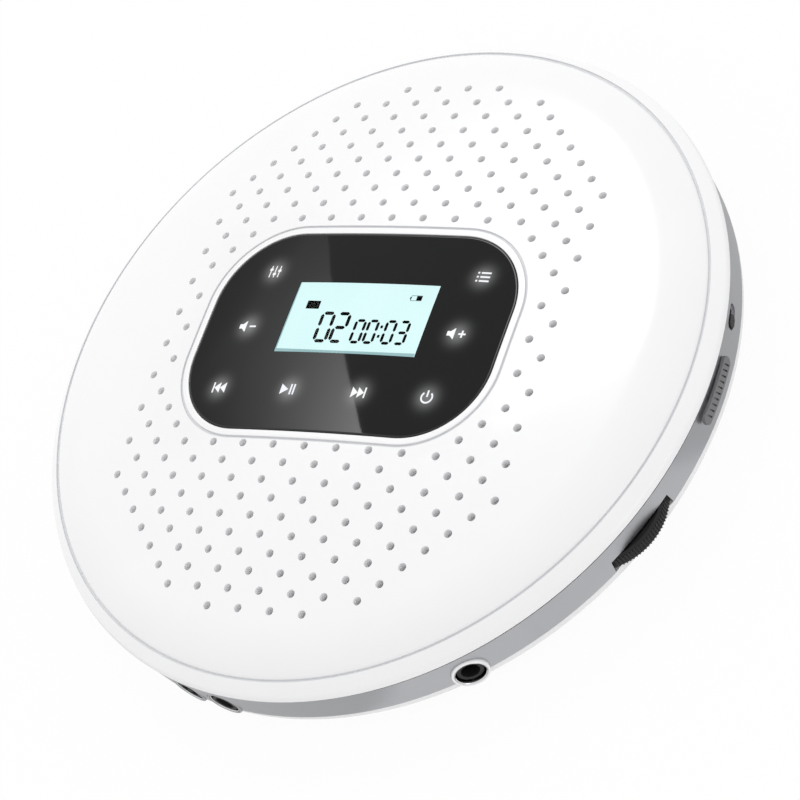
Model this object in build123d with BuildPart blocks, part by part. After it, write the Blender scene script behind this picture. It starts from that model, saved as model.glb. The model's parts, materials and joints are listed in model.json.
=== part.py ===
"""Portable CD player: a round clamshell whose lid is hinged on its left and latched on its right.

The origin is on the surface that the feet stand on, under the spindle. +Z is up, +X is the listener's
right and +Y points away from the listener. The base holds the disc well, the disc drive, the battery
and the main board; the lid holds the display, the touch keys and two small speakers.
"""
import os
from math import atan2, cos, hypot, pi, radians, sin, sqrt

from build123d import *

os.makedirs("parts", exist_ok=True)

# ---------------------------------------------------------------- driving dimensions (mm)
# Compact disc, as every player has to take it
disc_radius = 60.0
disc_thickness = 1.2

# Outline of the closed player
rim_width = 10.3            # case outside the wall of the disc well
band_inset = 0.2            # the silver band stands this far inside the lid's edge
band_wall = 1.8
band_draw = 0.6             # how far the band draws in from its top to its lower edge
side_inset = 0.3            # the white base stands this far inside the band's lower edge
foot_height = 1.0
bowl_height = 5.0           # underside of the base to the band's lower edge
band_height = 7.2
seam_gap = 0.3              # open seam between band and lid
lid_edge_height = 1.2
ring_rise = 2.1             # sloping ring between the lid's edge and the dome
dome_rise = 9.05            # dome above its own outline
ring_width = 3.0            # from the lid's edge to the foot of the dome
dome_curve = 412.0          # radius of curvature of the dome's crown
shoulder_width = 9.0        # from the foot of the dome to its crown
edge_round = 0.8
groove_width = 0.5
groove_depth = 0.35

# Walls and general clearances
lid_wall = 1.8
ring_wall = 1.3
base_wall = 1.8
spigot_wall = 1.5
seat_gap = 0.1              # between pieces that are assembled and stay put
free_gap = 0.3              # between pieces that move past each other
fit_gap = 0.05              # radial clearance of a shaft that turns or slides in its bore
weld = 0.3                  # how far a boss runs into the wall that carries it
cut_margin = 1.0            # how far a cutter runs past the face it opens
quarter_turn = 90.0         # degrees

# Bowl of the base: flat floor, then an elliptical turn up to the side
bowl_turn_reach = 14.0
bowl_turn_rise = 3.8

# Display panel in the dome
panel_length = 68.6
panel_width = 44.0
panel_corner = 15.8
panel_y = -0.7
panel_thickness = 1.2
panel_sink = 0.1
panel_ledge = 2.2           # width of the seat under the glass
panel_gap = 0.15
lip_width = 1.5
lip_groove_width = 0.5
lip_groove_depth = 0.4
lcd_length = 35.8
lcd_width = 20.0
lcd_thickness = 2.6
lcd_x = 1.2
lcd_y = 2.0
sensor_thickness = 0.3
board_thickness = 1.0
display_board_length = 80.0
display_board_width = 36.0
display_boss_inset_x = 4.0  # boss inside the ends of the display board
display_boss_inset_y = 3.5
display_boss_radius = 1.8
display_screw_radius = 0.7

# Perforations: a lattice turned 45 degrees, left open around the panel
hole_radius = 0.8
hole_step = 3.6             # half the distance between two holes of one row
hole_row_step = 3.64        # from one row to the next
hole_y = -0.2               # middle row
hole_side_steps = 12        # reach of the pattern to either side
hole_corner_steps = 21      # most steps sideways and away together, which cuts the corners off
hole_edge = 1.4             # outermost hole inside the crown's edge

# Inner lid
liner_overlap = 0.5         # liner's edge outside the well's wall
liner_thickness = 1.0
liner_lift = 1.6            # liner's underside above the top of a seated disc
liner_screw_inset = 3.5     # screws inside the liner's edge
liner_screw_count = 6
liner_boss_radius = 2.0
liner_screw_radius = 0.8
liner_head_radius = 1.6
speaker_y = 37.0
speaker_radius = 13.0
speaker_height = 2.8
speaker_magnet_radius = 7.0
speaker_magnet_height = 1.2
speaker_collar_wall = 1.0
speaker_collar_height = 2.0
cloth_thickness = 0.3
cloth_inset = 0.4           # cloth's edge inside the crown's

# Hinge on the left
hinge_inset = 1.8           # axis inside the lid's edge
hinge_drop = 1.9            # axis below the lid's lower edge
barrel_radius = 1.4
hinge_pin_radius = 0.7
barrel_half_length = 5.0
knuckle_length = 4.0
notch_half_length = 18.0
notch_depth = 2.2           # notch inward from the hinge axis
hinge_block_depth = 4.4

# Disc well and deck
well_gap = 1.5              # around the disc
well_wall = 1.2
ledge_thickness = 1.2
disc_inset = 0.6            # underside of a seated disc below the deck, so that it can be gripped
disc_lift = 1.5             # underside of the disc above the floor of the well
well_floor_thickness = 0.9
lens_window_half = 8.0
lens_window_inset = 0.9     # window's end inside the well's wall
post_radius = 2.4

# Latch and open slider on the right
latch_y = -1.7
strike_offset = 3.3         # strike's middle outside the wall of the well
strike_thickness = 1.2
strike_width = 4.0
strike_foot = 1.4
strike_foot_height = 1.0
strike_reach = 4.2          # strike's foot below the lid's lower edge
slider_travel = 3.0
slider_length = 14.0
slider_height = 2.6
slide_drop = 2.3            # middle of both sliders below the band's top
slider_proud = 0.6
slider_rib_count = 10
slider_rib_depth = 0.3
slider_rib_width = 0.35
slider_rib_height = 1.8
slider_rib_pitch = 1.2
slider_rib_slant = 20.0
slider_stem_length = 4.0
slider_stem_height = 1.4
slider_bar_height = 1.8
slider_bar_depth = 1.2
hook_length = 1.5

# Hold slider
hold_azimuth = 11.0
hold_travel = 2.0
hold_recess_length = 5.4
hold_recess_height = 2.6
hold_recess_depth = 0.7
hold_knob_length = 2.8
hold_knob_height = 1.9
hold_stem_length = 1.2
hold_stem_height = 1.0
hold_switch_length = 8.0
hold_switch_depth = 4.6

# Volume wheel
dial_azimuth = -24.4
dial_radius = 12.0
dial_thickness = 2.9
dial_reach = 2.3            # rim outside the side of the base
dial_rise = 2.9             # rim's top above the band's lower edge
knurl_count = 96
knurl_depth = 0.28
dial_bore_radius = 1.55
pot_width = 8.0
pot_height = 1.4
pot_depth_in = 5.4
pot_depth_out = 3.2

# Sockets
jack_azimuth = -56.0
line_azimuth = -97.6
charge_azimuth = -104.8
jack_lift = 1.9             # socket's axis above the band's lower edge
jack_bore_radius = 1.8
jack_bore_length = 15.0
jack_neck_radius = 2.5
jack_width = 5.8
jack_body_length = 12.2
jack_body_inset = 3.0       # socket's body inside the spigot
jack_mouth_inset = 0.4
bezel_outer_radius = 3.6
bezel_proud = 0.2
bezel_length = 3.4
charge_pin_radius = 0.65

# Finger scoop around the volume wheel
scoop_curve = 60.0          # radius of the scoop in the plan
scoop_depth = 1.0

# Main board
floor_gap = 0.6             # board above the floor
main_board_inset = 7.4      # board's outer edge inside the spigot
main_board_width = 16.0
main_board_start = -116.0
main_board_end = 28.0
standoff_azimuths = (-112.0, -68.0, -10.0, 24.0)
chip_places = ((-1.0, -76.0, 9.0), (0.0, -6.0, 4.5), (1.0, 10.0, 6.0))   # shift, azimuth, side
chip_height = 1.2
capacitor_inset = 4.0       # capacitors outside the board's inner edge
capacitor_azimuths = (-62.0, -86.0)
capacitor_radius = 2.0
capacitor_height = 4.0

# Battery
battery_gap = 0.1           # battery inside the flat of the floor
battery_length = 48.0
battery_width = 25.0
battery_height = 5.0
battery_pad_inset = 5.0
battery_corner = 1.0
battery_rib = 1.0
battery_rib_height = 2.0

# Disc drive
chassis_thickness = 1.2
chassis_drop = 0.4          # chassis below the well's floor
chassis_half_width = 24.0
chassis_front = -20.0
motor_ear_margin = 1.0
chassis_inset = 1.4         # chassis inside the spigot
ear_radius = 4.2
damper_x = 27.0
damper_front_y = -15.0
damper_rear_y = 42.0
damper_radius = 3.8
damper_neck_radius = 2.1
damper_cap = 0.3
damper_pin_radius = 1.0
damper_foot = 1.5
motor_radius = 11.0
motor_height = 5.0
shaft_radius = 1.0
turntable_radius = 15.0
turntable_thickness = 0.9
turntable_boss_radius = 4.0
hub_radius = 7.3
hub_height = 2.2
hub_chamfer = 0.4
pad_inner_radius = 10.0
pad_outer_radius = 14.5
pad_thickness = 0.3
claw_count = 3
claw_width = 2.4
claw_thickness = 0.45
claw_length = 3.3
claw_proud = 0.5
claw_gap = 0.1
claw_lift = 0.05            # above the top of a seated disc
rod_x = 17.0
rod_radius = 1.5
rod_drop = 1.6              # rod's axis below the chassis
lug_thickness = 2.2
lug_half_width = 2.2
lens_home = 24.5            # lens radius at the start of a disc
sled_travel = 32.0
sled_inner = 9.5            # sled from the lens towards the spindle
sled_outer = 5.5            # sled from the lens away from the spindle
sled_half_width = 13.0
sled_low = 3.6              # sled's underside below the chassis
sled_high = 0.4             # sled's top below the chassis' top face
bushing_radius = 2.6
lens_block = 7.0
lens_block_height = 1.0
lens_radius = 2.0
lens_height = 0.4
lens_curve = 6.0            # radius of curvature of the lens
focus_gap = 0.5
lens_guard = 1.5

# Sled gears, all of one module
gear_module = 0.8
tooth_addendum = 0.45       # in modules
tooth_dedendum = 0.75       # in modules
pinion_teeth = 8
wheel_teeth = 22
rack_x = 21.2               # pitch line of the rack
gear_y = 26.0
rack_height = 1.6
rack_back = 0.8
rack_spare = 1.5            # pitches of rack beyond the mesh at either end of the travel
wheel_thickness = 1.4
gear_stud_radius = 1.0
sled_motor_azimuth = -60.0  # direction from the reduction gear to its motor
sled_motor_radius = 5.5
sled_motor_height = 3.4
motor_shaft_radius = 0.5

# Lid switch
lid_switch_azimuth = -38.0
lid_switch_offset = 3.5     # plunger outside the wall of the well
lid_switch_length = 6.0
lid_switch_depth = 4.0
lid_switch_height = 1.8
plunger_radius = 0.9
plunger_travel = 0.8

# Feet and case screws
foot_radius = 5.0
foot_circle = 40.0
foot_recess = 0.6
case_screw_inset = 6.5      # screws inside the wall of the well
case_screw_radius = 1.0
case_boss_radius = 2.6
screw_head_radius = 2.0
screw_head_height = 1.2
screw_head_recess = 0.4

# ---------------------------------------------------------------- heights and radii that follow
base_z = foot_height
band_z = base_z + bowl_height
band_top = band_z + band_height
lid_z = band_top + seam_gap
ring_z = lid_z + lid_edge_height
contour_z = ring_z + ring_rise
ring_slope = atan2(ring_rise, ring_width - groove_width)
crown_z = contour_z + dome_rise
crown_centre_z = crown_z - dome_curve

well_radius = disc_radius + well_gap
well_outer = well_radius + well_wall
body_radius = well_outer + rim_width        # edge of the lid, the widest circle of the case
dome_radius = body_radius - ring_width
crown_reach = dome_radius - shoulder_width
band_radius = body_radius - band_inset
band_low_radius = band_radius - band_draw
band_inner = band_radius - band_wall
side_radius = band_low_radius - side_inset
spigot_outer = band_inner - seat_gap
spigot_inner = spigot_outer - spigot_wall
floor_z = base_z + base_wall
bowl_centre_radius = side_radius - bowl_turn_reach
bowl_centre_z = base_z + bowl_turn_rise

lid_inner = body_radius - lid_wall
deck_bottom = band_top - ledge_thickness
disc_z = band_top - disc_inset
well_floor_z = disc_z - disc_lift
well_floor_bottom = well_floor_z - well_floor_thickness
disc_top = disc_z + disc_thickness
liner_z = disc_top + liner_lift
liner_top = liner_z + liner_thickness
liner_radius = well_radius + liner_overlap
liner_screw_circle = liner_radius - liner_screw_inset
cloth_radius = crown_reach - cloth_inset
strike_x = well_outer + strike_offset
lid_switch_reach = well_outer + lid_switch_offset
lens_window_end = well_radius - lens_window_inset
case_screw_circle = well_radius - case_screw_inset

hinge_x = -(body_radius - hinge_inset)
hinge_z = lid_z - hinge_drop
notch_x = hinge_x + notch_depth
notch_z = hinge_z - barrel_radius - 0.4
pin_bore_radius = hinge_pin_radius + fit_gap
block_half_length = notch_half_length - free_gap

chassis_top = well_floor_bottom - chassis_drop
chassis_bottom = chassis_top - chassis_thickness
motor_top = chassis_bottom - seat_gap
rod_z = chassis_bottom - rod_drop
sled_bottom = chassis_bottom - sled_low
sled_top = chassis_top - sled_high
sled_start = lens_home - sled_inner
sled_end = lens_home + sled_outer
sled_far = sled_end + sled_travel

board_z = floor_z + floor_gap
board_top = board_z + board_thickness
main_board_outer = spigot_inner - main_board_inset
main_board_inner = main_board_outer - main_board_width
board_middle = (main_board_inner + main_board_outer) / 2
capacitor_circle = main_board_inner + capacitor_inset
battery_x = battery_width / 2 - bowl_centre_radius - battery_gap
chassis_circle = spigot_inner - chassis_inset
jack_body_reach = spigot_inner - jack_body_inset
jack_z = band_z + jack_lift
dial_centre = side_radius + dial_reach - dial_radius
dial_top = band_z + dial_rise
dial_z = dial_top - dial_thickness


def crown_height(reach, depth=0.0):
    """Height of the dome's crown, or of the surface depth below it, at a distance from the middle."""
    return crown_centre_z + sqrt((dome_curve - depth) ** 2 - reach**2)


def polar(radius, azimuth):
    """Point of the plan at a radius and an azimuth in degrees."""
    return (radius * cos(radians(azimuth)), radius * sin(radians(azimuth)))


def radial_plane(azimuth, reach, height):
    """Plane that faces outward at an azimuth, its own X running around the case and its Y upward."""
    x, y = polar(1.0, azimuth)
    return Plane(origin=(reach * x, reach * y, height), x_dir=(-y, x, 0), z_dir=(x, y, 0))


def crown_cap(depth, mode):
    """Ball whose top is the dome's crown lowered by depth, combined with the part under way."""
    with Locations((0, 0, crown_centre_z)):
        Sphere(dome_curve - depth, mode=mode)


def dome_plane(point):
    """Plane that lies on the crown at a point of the plan and faces straight out of it."""
    x, y = point
    height = crown_height(sqrt(x**2 + y**2))
    rise = height - crown_centre_z
    return Plane(origin=(x, y, height), x_dir=(rise, 0, -x), z_dir=(x, y, rise))


# ---------------------------------------------------------------- perforation pattern
def panel_distance(x, y):
    """Distance of a point outside the panel from the panel's outline."""
    across = max(abs(x) - (panel_length / 2 - panel_corner), 0)
    along = max(abs(y - panel_y) - (panel_width / 2 - panel_corner), 0)
    return hypot(across, along) - panel_corner


def perforation_points():
    """Centres of the sound holes: every other point of a lattice, on the crown and off the panel's rim."""
    rim = lip_width + lip_groove_width + hole_radius
    last_row = int(crown_reach / hole_row_step)
    points = []
    for row in range(-last_row, last_row + 1):
        for step in range(-hole_side_steps, hole_side_steps + 1):
            x, y = step * hole_step, hole_y + row * hole_row_step
            in_corner = abs(step) + abs(row) > hole_corner_steps
            on_crown = hypot(x, y) <= crown_reach - hole_edge
            if (row + step) % 2 == 1 and on_crown and not in_corner and panel_distance(x, y) > rim:
                points.append((x, y))
    return points


# ---------------------------------------------------------------- lid
lid_rim_ceiling = lid_z + 0.4
shoulder_inner = dome_radius - 1.0
shoulder_ceiling = contour_z - ring_wall
liner_boss_spots = [
    polar(liner_screw_circle, 360.0 * n / liner_screw_count) for n in range(liner_screw_count)
]
display_boss_x = display_board_length / 2 - display_boss_inset_x
display_boss_y = display_board_width / 2 - display_boss_inset_y
display_boss_spots = [
    (side * display_boss_x, panel_y + end * display_boss_y) for side in (-1, 1) for end in (-1, 1)
]
lcd_reach = sqrt((lcd_length / 2 + abs(lcd_x)) ** 2 + (lcd_width / 2 + abs(lcd_y)) ** 2)
lcd_top = crown_height(lcd_reach, panel_sink + panel_thickness) - free_gap
display_board_top = lcd_top - lcd_thickness


def lid_ceiling(reach):
    """Height of the lid's inner face under the shoulder, at a distance from the middle."""
    crown_ceiling = crown_height(crown_reach, lid_wall)
    return shoulder_ceiling + (shoulder_inner - reach) * (crown_ceiling - shoulder_ceiling) / (
        shoulder_inner - crown_reach
    )


strike_ceiling = lid_ceiling(strike_x)
strike_low = lid_z - strike_reach

with BuildPart() as lid_cavity:
    with BuildSketch(Plane.XZ):
        with BuildLine():
            ceiling = ThreePointArc(
                (0, crown_height(0, lid_wall)),
                (crown_reach / 2, crown_height(crown_reach / 2, lid_wall)),
                (crown_reach, crown_height(crown_reach, lid_wall)),
            )
            Polyline(
                ceiling @ 1,
                (shoulder_inner, shoulder_ceiling),
                (lid_inner, lid_rim_ceiling),
                (lid_inner, lid_z - cut_margin),
                (0, lid_z - cut_margin),
                ceiling @ 0,
            )
        make_face()
    revolve(axis=Axis.Z)
    with BuildSketch(Plane.XY.offset(liner_top)):
        with Locations(*liner_boss_spots):
            Circle(liner_boss_radius)
    extrude(amount=crown_z - liner_top, mode=Mode.SUBTRACT)
    with BuildSketch(Plane.XY.offset(display_board_top)):
        with Locations(*display_boss_spots):
            Circle(display_boss_radius)
    extrude(amount=crown_z - display_board_top, mode=Mode.SUBTRACT)

with BuildPart() as panel_recess:
    with BuildSketch(Plane.XY.offset(contour_z)):
        with Locations((0, panel_y)):
            RectangleRounded(
                panel_length + 2 * panel_gap, panel_width + 2 * panel_gap, panel_corner + panel_gap
            )
    extrude(amount=dome_rise + cut_margin)
    crown_cap(panel_sink + panel_thickness, Mode.SUBTRACT)

with BuildPart() as panel_groove:
    with BuildSketch(Plane.XY.offset(contour_z)):
        lip = lip_width + lip_groove_width
        with Locations((0, panel_y)):
            RectangleRounded(panel_length + 2 * lip, panel_width + 2 * lip, panel_corner + lip)
            RectangleRounded(
                panel_length + 2 * lip_width,
                panel_width + 2 * lip_width,
                panel_corner + lip_width,
                mode=Mode.SUBTRACT,
            )
    extrude(amount=dome_rise + cut_margin)
    crown_cap(lip_groove_depth, Mode.SUBTRACT)

with BuildPart() as lid_knuckles:
    for start in (barrel_half_length + free_gap, -barrel_half_length - free_gap - knuckle_length):
        with BuildSketch(Plane.XZ.offset(-start - knuckle_length)):
            with Locations((hinge_x, hinge_z)):
                Circle(barrel_radius)
            with Locations((hinge_x, (hinge_z + lid_rim_ceiling + weld) / 2)):
                Rectangle(2 * barrel_radius, lid_rim_ceiling + weld - hinge_z)
            with Locations((hinge_x, hinge_z)):
                Circle(pin_bore_radius, mode=Mode.SUBTRACT)
        extrude(amount=knuckle_length)
    Cylinder(body_radius - edge_round / 2, 2 * crown_z, mode=Mode.INTERSECT)


with BuildPart() as lid_shell:
    with BuildSketch(Plane.XZ):
        with BuildLine():
            crown = ThreePointArc(
                (0, crown_z),
                (crown_reach / 2, crown_height(crown_reach / 2)),
                (crown_reach, crown_height(crown_reach)),
            )
            shoulder = TangentArc(crown @ 1, (dome_radius, contour_z), tangent=crown % 1)
            groove = Polyline(
                shoulder @ 1,
                (dome_radius, contour_z - groove_depth),
                (dome_radius + groove_width, contour_z - groove_depth),
                (dome_radius + groove_width, contour_z),
                (body_radius - edge_round * cos(ring_slope), ring_z + edge_round * sin(ring_slope)),
            )
            edge = TangentArc(groove @ 1, (body_radius, ring_z - edge_round), tangent=groove % 1)
            Polyline(edge @ 1, (body_radius, lid_z), (0, lid_z), crown @ 0)
        make_face()
    revolve(axis=Axis.Z)
    add(lid_cavity.part, mode=Mode.SUBTRACT)
    add(panel_recess.part, mode=Mode.SUBTRACT)
    add(panel_groove.part, mode=Mode.SUBTRACT)
    with BuildSketch(Plane.XY.offset(contour_z)):
        with Locations((0, panel_y)):
            RectangleRounded(
                panel_length - 2 * panel_ledge, panel_width - 2 * panel_ledge, panel_corner - panel_ledge
            )
    extrude(amount=dome_rise + cut_margin, mode=Mode.SUBTRACT)
    with BuildSketch(Plane.XY.offset(liner_top)):
        with Locations(*liner_boss_spots):
            Circle(liner_screw_radius)
    extrude(amount=2 * liner_boss_radius, mode=Mode.SUBTRACT)
    with BuildSketch(Plane.XY.offset(display_board_top)):
        with Locations(*display_boss_spots):
            Circle(display_screw_radius)
    extrude(amount=display_boss_radius, mode=Mode.SUBTRACT)
    add(lid_knuckles.part)
    with BuildSketch(Plane.XY.offset(strike_low)):
        with Locations((strike_x, latch_y)):
            Rectangle(strike_thickness, strike_width)
    extrude(amount=strike_ceiling + 2 * weld - strike_low)
    with BuildSketch(Plane.XY.offset(strike_low)):
        with Locations((strike_x, latch_y + (strike_width + strike_foot) / 2)):
            Rectangle(strike_thickness, strike_foot + 2 * fit_gap)
    extrude(amount=strike_foot_height)
    with Locations(*[dome_plane(point) for point in perforation_points()]):
        Cylinder(hole_radius, 3 * lid_wall, mode=Mode.SUBTRACT)
lid_shell.part.label = "lid_shell"
export_step(lid_shell.part, "parts/lid_shell.step")

with BuildPart() as panel_glass:
    with BuildSketch(Plane.XY.offset(contour_z)):
        with Locations((0, panel_y)):
            RectangleRounded(panel_length, panel_width, panel_corner)
    extrude(amount=dome_rise + cut_margin)
    crown_cap(panel_sink, Mode.INTERSECT)
    crown_cap(panel_sink + panel_thickness, Mode.SUBTRACT)
panel_glass.part.label = "panel_glass"
export_step(panel_glass.part, "parts/panel_glass.step")

# The touch foil lines the glass inside its seat and leaves the display free
sensor_depth = panel_sink + panel_thickness + fit_gap
with BuildPart() as touch_sensor:
    with BuildSketch(Plane.XY.offset(contour_z)):
        with Locations((0, panel_y)):
            RectangleRounded(
                panel_length - 2 * panel_ledge - 2 * seat_gap,
                panel_width - 2 * panel_ledge - 2 * seat_gap,
                panel_corner - panel_ledge,
            )
        with Locations((lcd_x, lcd_y)):
            Rectangle(lcd_length + 2 * free_gap, lcd_width + 2 * free_gap, mode=Mode.SUBTRACT)
    extrude(amount=dome_rise + cut_margin)
    crown_cap(sensor_depth, Mode.INTERSECT)
    crown_cap(sensor_depth + sensor_thickness, Mode.SUBTRACT)
touch_sensor.part.label = "touch_sensor"
export_step(touch_sensor.part, "parts/touch_sensor.step")

with BuildPart() as lcd_module:
    with BuildSketch(Plane.XY.offset(display_board_top)):
        with Locations((lcd_x, lcd_y)):
            Rectangle(lcd_length, lcd_width)
    extrude(amount=lcd_thickness)
    chamfer(lcd_module.edges().filter_by(Axis.Z), length=seat_gap)
lcd_module.part.label = "lcd_module"
export_step(lcd_module.part, "parts/lcd_module.step")

with BuildPart() as display_board:
    with BuildSketch(Plane.XY.offset(display_board_top - board_thickness)):
        with Locations((0, panel_y)):
            RectangleRounded(display_board_length, display_board_width, 2 * display_boss_radius)
        with Locations(*display_boss_spots):
            Circle(display_screw_radius + seat_gap, mode=Mode.SUBTRACT)
    extrude(amount=board_thickness)
display_board.part.label = "display_board"
export_step(display_board.part, "parts/display_board.step")

with BuildPart() as display_screws:
    with Locations(*[Location((x, y, display_board_top - board_thickness)) for x, y in display_boss_spots]):
        Cylinder(
            display_screw_radius,
            board_thickness + display_boss_radius - seat_gap,
            align=(Align.CENTER, Align.CENTER, Align.MIN),
        )
        Cylinder(2 * display_screw_radius, 0.6, align=(Align.CENTER, Align.CENTER, Align.MAX))
display_screws.part.label = "display_screws"
export_step(display_screws.part, "parts/display_screws.step")

with BuildPart() as grille_cloth:
    with BuildSketch(Plane.XY.offset(contour_z)):
        Circle(cloth_radius)
        with Locations((0, panel_y)):
            RectangleRounded(
                panel_length + 2 * lip_width, panel_width + 2 * lip_width, panel_corner, mode=Mode.SUBTRACT
            )
        with Locations(*liner_boss_spots):
            Circle(liner_boss_radius + free_gap, mode=Mode.SUBTRACT)
        with Locations(*display_boss_spots):
            Circle(display_boss_radius + free_gap, mode=Mode.SUBTRACT)
    extrude(amount=dome_rise + cut_margin)
    crown_cap(lid_wall + fit_gap, Mode.INTERSECT)
    crown_cap(lid_wall + fit_gap + cloth_thickness, Mode.SUBTRACT)
grille_cloth.part.label = "grille_cloth"
export_step(grille_cloth.part, "parts/grille_cloth.step")


def make_speaker(name, middle_y):
    """Flat loudspeaker that faces up into the perforations: basket and cone over a magnet."""
    with BuildPart() as speaker:
        low = liner_top + seat_gap
        with BuildSketch(Plane.XZ):
            with BuildLine():
                Polyline(
                    (0, low),
                    (speaker_magnet_radius, low),
                    (speaker_magnet_radius, low + speaker_magnet_height),
                    (speaker_radius, low + speaker_magnet_height),
                    (speaker_radius, low + speaker_height),
                    (0.86 * speaker_radius, low + speaker_height),
                    (0.45 * speaker_radius, low + speaker_magnet_height + seam_gap),
                    (0, low + speaker_magnet_height + 2 * seam_gap),
                    (0, low),
                )
            make_face()
        revolve(axis=Axis.Z)
    placed = Pos(0, middle_y, 0) * speaker.part
    placed.label = name
    export_step(placed, f"parts/{name}.step")


make_speaker("speaker_front", -speaker_y)
make_speaker("speaker_rear", speaker_y)

with BuildPart() as lid_liner:
    with BuildSketch(Plane.XY.offset(liner_z)):
        Circle(liner_radius)
    extrude(amount=liner_thickness)
    fillet(lid_liner.faces().sort_by(Axis.Z)[0].edges(), radius=liner_thickness / 2)
    with BuildSketch(Plane.XY.offset(liner_top)):
        with Locations((0, -speaker_y), (0, speaker_y)):
            Circle(speaker_radius + seat_gap + speaker_collar_wall)
            Circle(speaker_radius + seat_gap, mode=Mode.SUBTRACT)
    extrude(amount=speaker_collar_height)
    with Locations(*[Location((x, y, liner_z)) for x, y in liner_boss_spots]):
        Cone(
            liner_head_radius,
            liner_screw_radius + fit_gap,
            liner_thickness,
            align=(Align.CENTER, Align.CENTER, Align.MIN),
            mode=Mode.SUBTRACT,
        )
lid_liner.part.label = "lid_liner"
export_step(lid_liner.part, "parts/lid_liner.step")

with BuildPart() as liner_screws:
    with Locations(*[Location((x, y, liner_z + seat_gap)) for x, y in liner_boss_spots]):
        Cone(
            liner_head_radius - seat_gap,
            liner_screw_radius,
            liner_thickness - seat_gap,
            align=(Align.CENTER, Align.CENTER, Align.MIN),
        )
        Cylinder(
            liner_screw_radius,
            liner_thickness + 2 * liner_boss_radius - 2 * seat_gap,
            align=(Align.CENTER, Align.CENTER, Align.MIN),
        )
liner_screws.part.label = "liner_screws"
export_step(liner_screws.part, "parts/liner_screws.step")

# ---------------------------------------------------------------- cuts shared by the case pieces
socket_azimuths = (jack_azimuth, line_azimuth, charge_azimuth)
slide_z = band_top - slide_drop
dial_spot = polar(dial_centre, dial_azimuth)
slider_bar_x = strike_x + strike_thickness / 2 + free_gap
slider_slot_start = latch_y - slider_stem_length / 2 - free_gap
slider_slot_length = slider_stem_length + slider_travel + 2 * free_gap

with BuildPart() as rim_cuts:
    for azimuth in socket_azimuths:
        with BuildSketch(radial_plane(azimuth, spigot_inner - 2 * cut_margin, jack_z)):
            Circle(bezel_outer_radius + fit_gap)
        extrude(amount=body_radius - spigot_inner + 3 * cut_margin)
    with BuildSketch(Plane.XY.offset(dial_z - free_gap)):
        with Locations(dial_spot):
            Circle(dial_radius + 2 * free_gap)
    extrude(amount=dial_thickness + 2 * free_gap)
    with BuildSketch(Plane.YZ.offset(slider_bar_x)):
        with Locations((slider_slot_start + slider_slot_length / 2, slide_z)):
            Rectangle(slider_slot_length, slider_stem_height + 2 * seat_gap)
    extrude(amount=body_radius)
    with BuildSketch(radial_plane(hold_azimuth, spigot_inner - cut_margin, slide_z)):
        Rectangle(hold_stem_length + hold_travel + 2 * free_gap, hold_stem_height + 2 * seat_gap)
    extrude(amount=body_radius)
    with BuildSketch(Plane.XY.offset(notch_z)):
        with Locations((notch_x, 0)):
            Rectangle(body_radius, 2 * notch_half_length, align=(Align.MAX, Align.CENTER))
    extrude(amount=crown_z)

# ---------------------------------------------------------------- base
case_screw_spots = [polar(case_screw_circle, (n + 0.5) * quarter_turn) for n in range(4)]
foot_spots = [polar(foot_circle, n * quarter_turn) for n in range(4)]
damper_spots = [(side * damper_x, y) for side in (-1, 1) for y in (damper_front_y, damper_rear_y)]
post_low = well_floor_bottom - post_radius
damper_low = chassis_bottom - damper_foot
standoff_spots = [polar(board_middle, azimuth) for azimuth in standoff_azimuths]

with BuildPart() as base_cavity:
    with BuildSketch(Plane.XZ):
        with BuildLine():
            turn = EllipticalCenterArc(
                (bowl_centre_radius, bowl_centre_z),
                spigot_inner - bowl_centre_radius,
                bowl_centre_z - floor_z,
                start_angle=-quarter_turn,
                arc_size=quarter_turn,
            )
            Polyline(
                turn @ 1,
                (spigot_inner, deck_bottom + cut_margin),
                (0, deck_bottom + cut_margin),
                (0, floor_z),
                turn @ 0,
            )
        make_face()
    revolve(axis=Axis.Z)
    with BuildSketch(Plane.XY.offset(floor_z - weld)):
        with Locations(*case_screw_spots):
            Circle(case_boss_radius)
    extrude(amount=post_low - floor_z + weld, mode=Mode.SUBTRACT)
    with BuildSketch(Plane.XY.offset(floor_z - weld)):
        with Locations(*damper_spots):
            Circle(damper_radius)
    extrude(amount=damper_low - floor_z + weld, mode=Mode.SUBTRACT)
    with BuildSketch(Plane.XY.offset(floor_z - weld)):
        with Locations(*damper_spots):
            Circle(damper_pin_radius)
    extrude(amount=chassis_top - floor_z + weld, mode=Mode.SUBTRACT)
    with BuildSketch(Plane.XY.offset(floor_z - weld)):
        with Locations(*standoff_spots):
            Circle(damper_pin_radius)
    extrude(amount=board_z - floor_z + weld, mode=Mode.SUBTRACT)
    with BuildSketch(Plane.XY.offset(floor_z - weld)):
        with Locations((battery_x, 0)):
            rib = 2 * (battery_rib + free_gap)
            Rectangle(battery_width + rib, battery_length + rib)
            Rectangle(battery_width + 2 * free_gap, battery_length + 2 * free_gap, mode=Mode.SUBTRACT)
    extrude(amount=battery_rib_height + weld, mode=Mode.SUBTRACT)
    with BuildSketch(Plane.XY.offset(floor_z - weld)):
        with Locations((notch_x, 0)):
            Rectangle(hinge_block_depth, 2 * block_half_length, align=(Align.MIN, Align.CENTER))
    extrude(amount=band_z - floor_z + weld, mode=Mode.SUBTRACT)

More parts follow.
